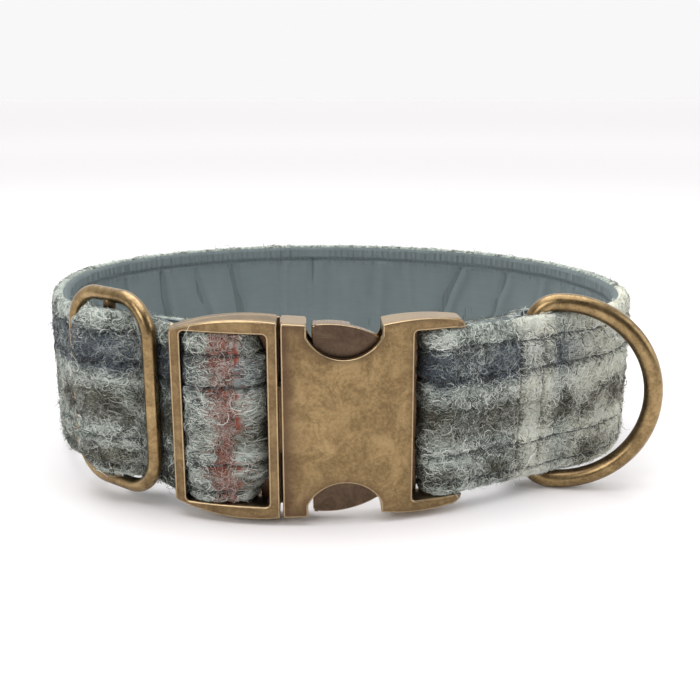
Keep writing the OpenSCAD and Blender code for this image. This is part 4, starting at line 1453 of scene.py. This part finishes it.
def dyed(finish, colours, light, dark):
    """Wool colour: the pale ground with navy, olive, rust and cream yarn mixed over it."""
    colour = finish.mix(light, rgba(colours.ground), rgba(colours.ground_light))
    colour = finish.mix(finish.attribute("cream") * 0.92, colour, rgba(colours.cream))
    for name in ("olive", "navy", "rust"):
        share = (finish.attribute(name) * dark).clipped()
        colour = finish.mix(share, colour, rgba(getattr(colours, name)))
    return colour


def tweed_finish(colours):
    """Loose twill of thick wool: soft ribs crossed at a slant, matted fibres, and painted shade in the
    gaps between them.
    """
    f = Finish("hairy_tweed")
    cloth = f.place(uv=True)
    mottle = f.noise(cloth, 900, 4, 0.65)
    lump = f.noise(cloth, 260, 3, 0.6, 0.4)
    along, across = (260, 1500, 1), (1500, 260, 1)
    hair_a = f.noise(f.place(along, (0, 0, 0.6), uv=True), 1.0, 5, 0.7, 1.2)
    hair_b = f.noise(f.place(across, (0, 0, 0.9), uv=True), 1.0, 5, 0.7, 1.2)
    twill = f.waves(f.place(turn=(0, 0, 0.78), uv=True), 190, warp=3.0, warp_scale=2.0)
    fibre = hair_a * 0.5 + hair_b * 0.5
    gap = 1 - (fibre * 0.5 + mottle * 0.3 + f.attribute("shade") * 0.2).above(0.4, 0.56)
    dark = 0.55 + 1.1 * lump.above(0.25, 0.7)
    colour = dyed(f, colours, mottle.above(0.35, 0.65), dark)
    colour = f.mix(gap * 0.85, colour, rgba(colours.gaps))
    height = fibre * 0.5 + lump * 0.5 + twill * 0.25
    return f.set(
        Base_Color=colour,
        Roughness=1.0,
        Specular_IOR_Level=0.15,
        Sheen_Weight=0.25,
        Sheen_Roughness=0.5,
        Normal=f.bump(height, 1.0, 0.001),
    )


def fibre_finish(colours):
    """Single wool fibres: each a shade lighter or darker than the cloth it grows from, the darkest
    painted with the shade colour of the gaps.
    """
    f = Finish("wool_fibres")
    shade = f.attribute("shade")
    colour = dyed(f, colours, shade, 1.1 - 0.35 * shade.above(0.5, 0.95))
    bands = (f.attribute("navy") + f.attribute("olive") + f.attribute("rust")).clipped()
    pale = shade.above(0.6, 1.0) * (1 - 0.82 * bands)
    colour = f.mix(pale * 0.8, colour, rgba(colours.fibre_tips))
    colour = f.mix((1 - shade.above(0.12, 0.6)) * 0.9, colour, rgba(colours.gaps))
    return f.set(Base_Color=colour, Roughness=0.85, Specular_IOR_Level=0.25, Sheen_Weight=0.15)


def lining_finish(colours):
    """Plain cotton: a fine even weave, faintly streaked along its yarns."""
    f = Finish("cotton_lining")
    weave_a, weave_b = (f.waves(f.place(uv=True), 1250, way, 0.6, 3.0) for way in "XY")
    streak = f.noise(f.place((120, 900, 1), uv=True), 1.0, 3, 0.6)
    soft = f.noise(f.place(uv=True), 90, 3, 0.5)
    light = (0.35 + 0.4 * streak + 0.35 * soft - 0.05).clipped()
    colour = f.mix(light, rgba(colours.lining_dark), rgba(colours.lining))
    colour = f.mix((weave_a * weave_b) * 0.22, colour, rgba(colours.lining_light))
    colour = f.mix(f.attribute("hem") * 0.45, colour, rgba(colours.lining_dark, 0.4))
    height = weave_a * 0.5 + weave_b * 0.5 + soft * 1.2
    return f.set(
        Base_Color=colour,
        Roughness=0.92,
        Specular_IOR_Level=0.2,
        Sheen_Weight=0.12,
        Normal=f.bump(height, 0.35, 0.00025),
    )


def webbing_finish(colours):
    """Ribbed webbing: rounded cords across its width."""
    f = Finish("ribbed_webbing")
    rib = f.waves(f.place(uv=True), 300, "Y", 0.4, 2.0)
    cross = f.waves(f.place(uv=True), 380, "X", 1.0, 2.0)
    light = (rib * 0.6 + cross * 0.4).clipped()
    colour = f.mix(light, rgba(colours.webbing_dark), rgba(colours.webbing))
    normal = f.bump(rib * 0.7 + cross * 0.5, 0.7, 0.0003)
    return f.set(Base_Color=colour, Roughness=0.9, Specular_IOR_Level=0.25, Normal=normal)


def thread_finish(name, colour, light):
    """Twisted sewing thread."""
    f = Finish(name)
    ply = f.waves(f.place(turn=(0.5, 0.4, 0.6)), 1100, "X", 0.5, 2.0)
    fleck = f.noise(f.place(), 1800, 2)
    mixed = f.mix((ply * 0.6 + fleck * 0.4).clipped(), rgba(colour), rgba(light))
    normal = f.bump(ply, 0.5, 0.00012)
    return f.set(Base_Color=mixed, Roughness=0.7, Specular_IOR_Level=0.35, Normal=normal)


# Colour of bare specks in the plating, and the tint of the painted shade: what it leaves of the patina's
# colour
BARE_METAL = (0.8, 0.66, 0.45)
SHADE_TINT = (0.62, 0.55, 0.75)


def brass_finish(name, bright, mid, dark, edge, roughness, wear_share=1.0, shade_share=0.8):
    """Antique plated brass: cloudy brown patina with darker pores, brighter along worn edges where a
    painted highlight is laid on too, with hairline scratches and a few bare specks. The shade value
    paints shade as a purple-brown tint of the dark patina."""
    f = Finish(name)
    here = f.place()
    cloud = f.noise(here, 150, 6, 0.7, 0.8)
    fine = f.noise(here, 1300, 5, 0.78)
    grain = f.noise(here, 3200, 3, 0.7)
    pores = f.cells(here, 1500)
    scratch_a = f.noise(f.place((90, 90, 5200), (0.3, 0.6, 0.1)), 1.0, 2, 0.5, 0.4)
    scratch_b = f.noise(f.place((5200, 90, 110), (0.1, 0.45, 0.4)), 1.0, 2, 0.5, 0.4)
    lines = (scratch_a.above(0.68, 0.78) + scratch_b.above(0.7, 0.8)).clipped()
    wear_and_highlight = f.attribute("wear_and_highlight")
    shade = f.attribute("shade")
    patina = (cloud * 0.4 + fine * 0.6).above(0.34, 0.66)
    colour = f.mix(patina, rgba(dark), rgba(mid))
    colour = f.mix(cloud.above(0.42, 0.75) * 0.55, colour, rgba(bright))
    colour = f.mix((1 - pores.above(0.05, 0.22)) * fine.above(0.5, 0.7) * 0.55, colour, rgba(dark))
    colour = f.mix(lines * 0.22, colour, rgba(edge))
    # Painted shade: the dark patina, tinted purple-brown, laid on where the shade value is high
    shaded_colour = [c * left for c, left in zip(dark, SHADE_TINT)]
    colour = f.mix(shade.above(0.2, 1.0) * shade_share, colour, rgba(shaded_colour))
    # The edge colour on worn and highlighted places: partly real wear, partly a painted highlight
    rubbed_and_lit = (wear_and_highlight * (0.5 + 0.8 * fine)).above(0.4, 1.0) * wear_share
    colour = f.mix(rubbed_and_lit * 0.65, colour, rgba(edge))
    speck = (1 - f.cells(here, 420).above(0.03, 0.05)) * fine.above(0.62, 0.7)
    colour = f.mix(speck, colour, rgba(BARE_METAL))
    rough = (roughness + 0.16 * (fine - 0.5) + 0.1 * cloud - 0.1 * rubbed_and_lit).clipped()
    height = fine * 0.4 + grain * 0.3 - lines * 0.5 - (1 - pores.above(0.05, 0.2)) * 0.3
    normal = f.bump(height, 0.18, 0.00012)
    return f.set(Base_Color=colour, Metallic=1.0, Roughness=rough, Normal=normal)


def steel_finish():
    """Drawn steel, streaked across its length."""
    f = Finish("plain_steel")
    fine = f.noise(f.place((400, 400, 2400)), 1.0, 3, 0.6)
    colour = f.mix(fine, (0.33, 0.32, 0.31, 1), (0.6, 0.59, 0.57, 1))
    return f.set(Base_Color=colour, Metallic=1.0, Roughness=0.3 + 0.2 * fine)


# Shares of the floor's colour: its darker clouds, and its glow outside the collar's shadow
# and far away
FLOOR_CLOUD, NEAR_GLOW, FAR_GLOW = 0.985, 0.385, 0.42


def floor_finish(colours):
    """Pale floor that glows a little more the further it is from the collar."""
    f = Finish("pale_floor")
    soft = f.noise(f.place(), 3.0, 2)
    colour = f.mix(soft, rgba(colours.floor, FLOOR_CLOUD), rgba(colours.floor))
    reach = f.add("ShaderNodeVectorMath", {"operation": "LENGTH"}, {0: f.place()})
    reach = Value(f, reach.outputs["Value"])
    glow = f.mix(reach.above(0.25, 1.6), rgba((0, 0, 0)), rgba(colours.floor, NEAR_GLOW))
    glow = f.mix(reach.above(1.6, 6.0), glow, rgba(colours.floor, FAR_GLOW))
    return f.set(
        Base_Color=colour,
        Roughness=0.7,
        Specular_IOR_Level=0.1,
        Emission_Color=glow,
        Emission_Strength=1.0,
    )


# ---- Settings and operators --------------------------------------------------------


def colour_setting(name, description, default):
    """A colour that the user can change."""
    return bpy.props.FloatVectorProperty(
        name=name, description=description, default=default, subtype="COLOR", size=3, min=0, max=1
    )


class CollarColours(bpy.types.PropertyGroup):
    """Colours of the cloth, metal and floor."""

    ground: colour_setting("Ground", "Sage green wool of the tweed", (0.3, 0.345, 0.31))
    ground_light: colour_setting("Light ground", "Palest wool of the tweed", (0.5, 0.56, 0.5))
    navy: colour_setting("Navy", "Blue-grey bands of the tweed", (0.066, 0.086, 0.112))
    olive: colour_setting("Olive", "Brown-green bands of the tweed", (0.08, 0.074, 0.047))
    rust: colour_setting("Rust", "Upright stripe in the tweed", (0.26, 0.07, 0.042))
    cream: colour_setting("Cream", "Upright pale stripe in the tweed", (0.82, 0.81, 0.67))
    gaps: colour_setting("Gaps", "Shade between the yarns", (0.028, 0.03, 0.027))
    fibre_tips: colour_setting("Fibre tips", "Palest single fibres", (0.74, 0.77, 0.72))
    lining: colour_setting("Lining", "Cotton lining", (0.195, 0.24, 0.247))
    lining_dark: colour_setting("Dark lining", "Darker streaks of the lining", (0.115, 0.147, 0.153))
    lining_light: colour_setting("Light lining", "Crossings of the lining's yarns", (0.27, 0.325, 0.33))
    webbing: colour_setting("Webbing", "Webbing and tab", (0.22, 0.25, 0.25))
    webbing_dark: colour_setting("Dark webbing", "Grooves of the webbing", (0.07, 0.08, 0.08))
    thread: colour_setting("Thread", "Face stitching", (0.05, 0.06, 0.06))
    # Metal colours: the dark patina, tinted, also paints shade, and the edge colours paint highlight as
    # well as wear
    brass: colour_setting("Brass", "Antique brass", (0.33, 0.229, 0.108))
    brass_bright: colour_setting("Bright brass", "Rubbed patches", (0.46, 0.33, 0.165))
    brass_dark: colour_setting("Brass patina", "Dark patina", (0.15, 0.1, 0.048))
    brass_edge: colour_setting("Brass edges", "Worn edges", (0.52, 0.39, 0.235))
    bronze: colour_setting("Bronze", "Dark latches", (0.11, 0.075, 0.05))
    bronze_bright: colour_setting("Bright bronze", "Rubbed patches of the latches", (0.15, 0.105, 0.072))
    bronze_edge: colour_setting("Bronze edges", "Bevels of the latches", (0.5, 0.37, 0.24))
    bronze_dark: colour_setting("Dark bronze", "Patina of the latches", (0.065, 0.043, 0.029))
    floor: colour_setting("Floor", "Floor", (0.9, 0.885, 0.895))


class CollarSizes(bpy.types.PropertyGroup):
    """Sizes that change the looks and not the parts."""

    fibres: bpy.props.IntProperty(
        name="Fibres", description="Wool fibres on each group", default=19500, min=100, max=19900
    )
    fibre_length: bpy.props.FloatProperty(
        name="Fibre length",
        description="Mean length of a fibre",
        default=2.6 * MM,
        min=MM,
        max=6 * MM,
        subtype="DISTANCE",
        unit="LENGTH",
    )
    light: bpy.props.FloatProperty(
        name="Light", description="Strength of the soft studio light", default=1.0, min=0.1, max=4
    )


HALVES = {"right": RIGHT, "left": LEFT}


def paint(piece, finish):
    """Gives a piece one finish and no other."""
    piece.data.materials.clear()
    piece.data.materials.append(finish)


def dress(piece, finish, slot, *nodes):
    """Gives a piece its finish, and lets it stand for its parts by hiding them. The slot is not used."""
    paint(piece, finish)
    if nodes:
        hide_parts(*nodes)


def across_the_back(piece):
    """Bakes the piece's placement into its mesh, for cloth that passes the opening's hinge between the
    two halves.
    """
    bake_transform(piece)


class BuildTweed(bpy.types.Operator):
    """Tweed covers of both straps, with their rounded rims and quilted rows"""

    bl_idname = "collar.build_tweed"
    bl_label = "Tweed covers"

    def execute(self, context):
        finish = tweed_finish(context.scene.collar_colours)
        for half, route in HALVES.items():
            piece = make_tweed(f"tweed_cover_{half}", route, half)
            dress(piece, finish, "tweed", f"tweed_{half}")
            across_the_back(piece)
        return {"FINISHED"}


class BuildFibres(bpy.types.Operator):
    """Curled wool fibres that stand on the tweed"""

    bl_idname = "collar.build_fibres"
    bl_label = "Wool fibres"

    def execute(self, context):
        finish = fibre_finish(context.scene.collar_colours)
        sizes = context.scene.collar_sizes
        mean = sizes.fibre_length / MM
        short, long = (mean * 0.6, mean * 1.4), (mean * 1.6, mean * 3.4)
        for name, (half, seed, spots) in FIBRE_GROUPS.items():
            piece = make_fibres(name, HALVES[half], half, sizes.fibres, seed, spots, short)
            dress(piece, finish, "tweed")
            across_the_back(piece)
        for half, route in HALVES.items():
            whole = [(0.3, route.length - 0.3, 1.0)]
            name, count, seed, lift = f"stray_fibres_{half}", 420, 105, (0.5, 1.9)
            piece = make_fibres(name, route, half, count, seed, whole, long, lift)
            dress(piece, finish, "tweed")
            across_the_back(piece)
        return {"FINISHED"}


class BuildLining(bpy.types.Operator):
    """Cotton lining with rolled ridges and gathered folds"""

    bl_idname = "collar.build_lining"
    bl_label = "Lining"

    def execute(self, context):
        finish = lining_finish(context.scene.collar_colours)
        for half, route in HALVES.items():
            piece = make_lining(f"lining_cotton_{half}", route, half)
            dress(piece, finish, "lining", f"lining_{half}")
            across_the_back(piece)
        return {"FINISHED"}


class BuildWebbing(bpy.types.Operator):
    """Webbing inside both straps, and the tab on the tri-glide"""

    bl_idname = "collar.build_webbing"
    bl_label = "Webbing"

    def execute(self, context):
        finish = webbing_finish(context.scene.collar_colours)
        for half, route in HALVES.items():
            piece = make_webbing(f"webbing_core_{half}", route, half)
            dress(piece, finish, "webbing", f"webbing_{half}")
            across_the_back(piece)
        tab = make_tab()
        dress(tab, finish, "webbing", "return_tab")
        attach(tab, "left_half")
        return {"FINISHED"}


class BuildStitching(bpy.types.Operator):
    """Rows of stitching on the tweed, the lining, the D-ring's pocket and the tab"""

    bl_idname = "collar.build_stitching"
    bl_label = "Stitching"

    def execute(self, context):
        colours = context.scene.collar_colours
        dark = thread_finish("dark_thread", colours.thread, colours.webbing)
        grey = thread_finish("grey_thread", colours.lining_dark, colours.lining_light)
        for kind, run, rows, thread_r, finish in (
            ("face", face_run, range(len(FACE_ROWS)), 0.2, dark),
            ("hem", hem_run, (1, -1), 0.16, grey),
        ):
            for half, route in HALVES.items():
                runs = [run(route, half, row) for row in rows]
                piece = make_stitches(f"{kind}_stitches_{half}", runs, thread_r)
                dress(piece, finish, "thread", f"{kind}_stitching_{half}")
                across_the_back(piece)
        pocket = make_stitches("pocket_stitches", [pocket_run(k) for k in POCKET_ROWS])
        dress(pocket, dark, "thread", "pocket_stitching")
        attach(pocket, "right_half")
        tab = make_stitches("tab_stitches", [tab_run(share) for share in (0.45, 0.85)])
        dress(tab, dark, "thread", "tab_stitching")
        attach(tab, "left_half")
        return {"FINISHED"}


def brass_of(colours, name, *settings):
    """A brass finish in the brass colours."""
    shades = colours.brass_bright, colours.brass, colours.brass_dark, colours.brass_edge
    return brass_finish(name, *shades, *settings)


class BuildBuckle(bpy.types.Operator):
    """Both halves of the buckle, its latches, pins and springs"""

    bl_idname = "collar.build_buckle"
    bl_label = "Buckle"

    def execute(self, context):
        colours = context.scene.collar_colours
        brass = brass_of(colours, "antique_brass", 0.34, 1.0, 0.85)
        shades = colours.bronze_bright, colours.bronze, colours.bronze_dark, colours.bronze_edge
        bronze = brass_finish("dark_bronze", *shades, 0.3)
        steel = steel_finish()
        for piece, body, node in (
            (make_male_half(), "left_half", "male_frame"),
            (make_female_half(), "right_half", "female_body"),
        ):
            dress(piece, brass, "brass", node)
            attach(piece, body)
        for name, sign in (("upper", 1), ("lower", -1)):
            latch = make_latch(f"latch_plate_{name}", sign)
            dress(latch, bronze, "dark_brass", f"latch_{name}")
            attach(latch, f"latch_{name}")
            spring = make_spring(f"coil_{name}", sign)
            dress(spring, steel, "steel", f"latch_spring_{name}")
            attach(spring, "left_half")
            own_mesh(spring)
            paint(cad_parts[f"latch_pin_{name}"], steel)
        return {"FINISHED"}


class BuildRings(bpy.types.Operator):
    """D-ring and tri-glide"""

    bl_idname = "collar.build_rings"
    bl_label = "Rings"

    def execute(self, context):
        finish = brass_of(context.scene.collar_colours, "polished_brass", 0.25, 0.7, 0.6)
        for piece, node in ((make_d_ring(), "d_ring"), (make_tri_glide(), "tri_glide")):
            dress(piece, finish, "brass", node)
            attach(piece, node)
        return {"FINISHED"}


# Name, place, aim, size in metres, power in watts and colour
SOFTBOXES = (
    ("top_softbox", (-0.05, 0.02, 0.75), (0, 0, 0), 0.9, 6.5, (1.0, 0.985, 0.98)),
    ("front_left_softbox", (-0.55, -0.75, 0.5), (0, -0.05, 0.02), 0.45, 3.6, (1.0, 0.99, 0.98)),
    ("right_softbox", (0.85, -0.25, 0.45), (0, 0, 0.02), 0.6, 2.2, (0.99, 0.99, 1.0)),
)
FLOOR_REACH, FLOOR_DROP = 6000.0, 0.02
# Camera: its place in metres, and the degrees that it looks down and to the right
CAMERA_PLACE, CAMERA_DOWN, CAMERA_RIGHT = (-0.00316, -0.2832, 0.1009), 15.03, 2.7


class BuildStage(bpy.types.Operator):
    """Floor, soft studio light and camera"""

    bl_idname = "collar.build_stage"
    bl_label = "Stage"

    def execute(self, context):
        scene = context.scene
        floor = make_floor()
        paint(floor, floor_finish(scene.collar_colours))
        strength = scene.collar_sizes.light
        make_world(scene, strength)
        for name, place, aim, size, power, colour in SOFTBOXES:
            make_softbox(name, place, aim, size, power * strength, colour)
        make_camera(scene)
        scene.view_settings.view_transform = "Standard"
        return {"FINISHED"}


def make_floor():
    """One wide square, just under the collar."""
    level = upright_loop(FLOOR_REACH, -FLOOR_REACH, FLOOR_REACH)
    return make_mesh("floor", np.insert(level, 2, -FLOOR_DROP, axis=1), [[[0, 1, 2, 3]]])


def make_world(scene, strength):
    """A pale room: brighter behind, dimmer on the camera's side."""
    f = Finish("pale_room", "worlds", "Background")
    here = f.add("ShaderNodeTexCoord").outputs["Generated"]
    depth = f.add("ShaderNodeSeparateXYZ", {}, {0: here}).outputs["Y"]
    span = {"From Min": -0.85, "From Max": 0.6, "To Min": 0.16, "To Max": 0.945}
    ramp = f.add(
        "ShaderNodeMapRange", {"interpolation_type": "SMOOTHSTEP"}, {"Value": depth, **span}
    )
    light = Value(f, ramp.outputs["Result"]) * strength
    scene.world = f.set(Color=(1.0, 0.992, 0.995, 1), Strength=light)


def look_along(place, forward):
    """A matrix for an object at place that faces along forward, with its top upwards."""
    z = -Vector(forward).normalized()
    x = Vector(UP).cross(z).normalized()
    turn = Matrix((x, z.cross(x), z)).transposed().to_4x4()
    return Matrix.Translation(place) @ turn


def make_softbox(name, place, aim, size, power, colour):
    """A square light that faces its aim."""
    light = bpy.data.lights.new(name, "AREA")
    light.shape, light.size, light.energy, light.color = "SQUARE", size, power, colour
    lamp = bpy.data.objects.new(name, light)
    lamp.matrix_world = look_along(place, np.subtract(aim, place))
    bpy.context.scene.collection.objects.link(lamp)


def make_camera(scene):
    """Looks down on the buckle from a little to its left."""
    lens = bpy.data.cameras.new("camera")
    lens.sensor_width, lens.lens = 36.0, 51.43
    lens.clip_start, lens.clip_end = 0.01, 50.0
    camera = bpy.data.objects.new("camera", lens)
    level, sink = ahead(-CAMERA_DOWN)
    forward = [*(level * ahead(90 - CAMERA_RIGHT)), sink]
    camera.matrix_world = look_along(CAMERA_PLACE, forward)
    scene.collection.objects.link(camera)
    scene.camera = camera


class CollarPanel(bpy.types.Panel):
    """Lists the collar's groups of pieces"""

    bl_label = "Tweed collar"
    bl_idname = "COLLAR_PT_pieces"
    bl_space_type = "VIEW_3D"
    bl_region_type = "UI"
    bl_category = "Collar"

    def draw(self, context):
        layout = self.layout
        for settings in (context.scene.collar_sizes, context.scene.collar_colours):
            column = layout.column()
            for key in settings.__annotations__:
                column.prop(settings, key)
        for operator in OPERATORS:
            layout.operator(operator.bl_idname)


SETTINGS = (CollarColours, CollarSizes)
OPERATORS = (
    BuildStage,
    BuildTweed,
    BuildFibres,
    BuildLining,
    BuildWebbing,
    BuildStitching,
    BuildBuckle,
    BuildRings,
)


def register():
    """Registers the classes and puts the settings on the scene."""
    for part in (*SETTINGS, *OPERATORS, CollarPanel):
        bpy.utils.register_class(part)
    bpy.types.Scene.collar_colours = bpy.props.PointerProperty(type=CollarColours)
    bpy.types.Scene.collar_sizes = bpy.props.PointerProperty(type=CollarSizes)


def unregister():
    """Takes the settings and the classes away again."""
    del bpy.types.Scene.collar_sizes
    del bpy.types.Scene.collar_colours
    for part in reversed((*SETTINGS, *OPERATORS, CollarPanel)):
        bpy.utils.unregister_class(part)


def main():
    """Builds every group."""
    register()
    for operator in OPERATORS:
        group, name = operator.bl_idname.split(".")
        getattr(getattr(bpy.ops, group), name)()


if __name__ == "__main__":
    main()
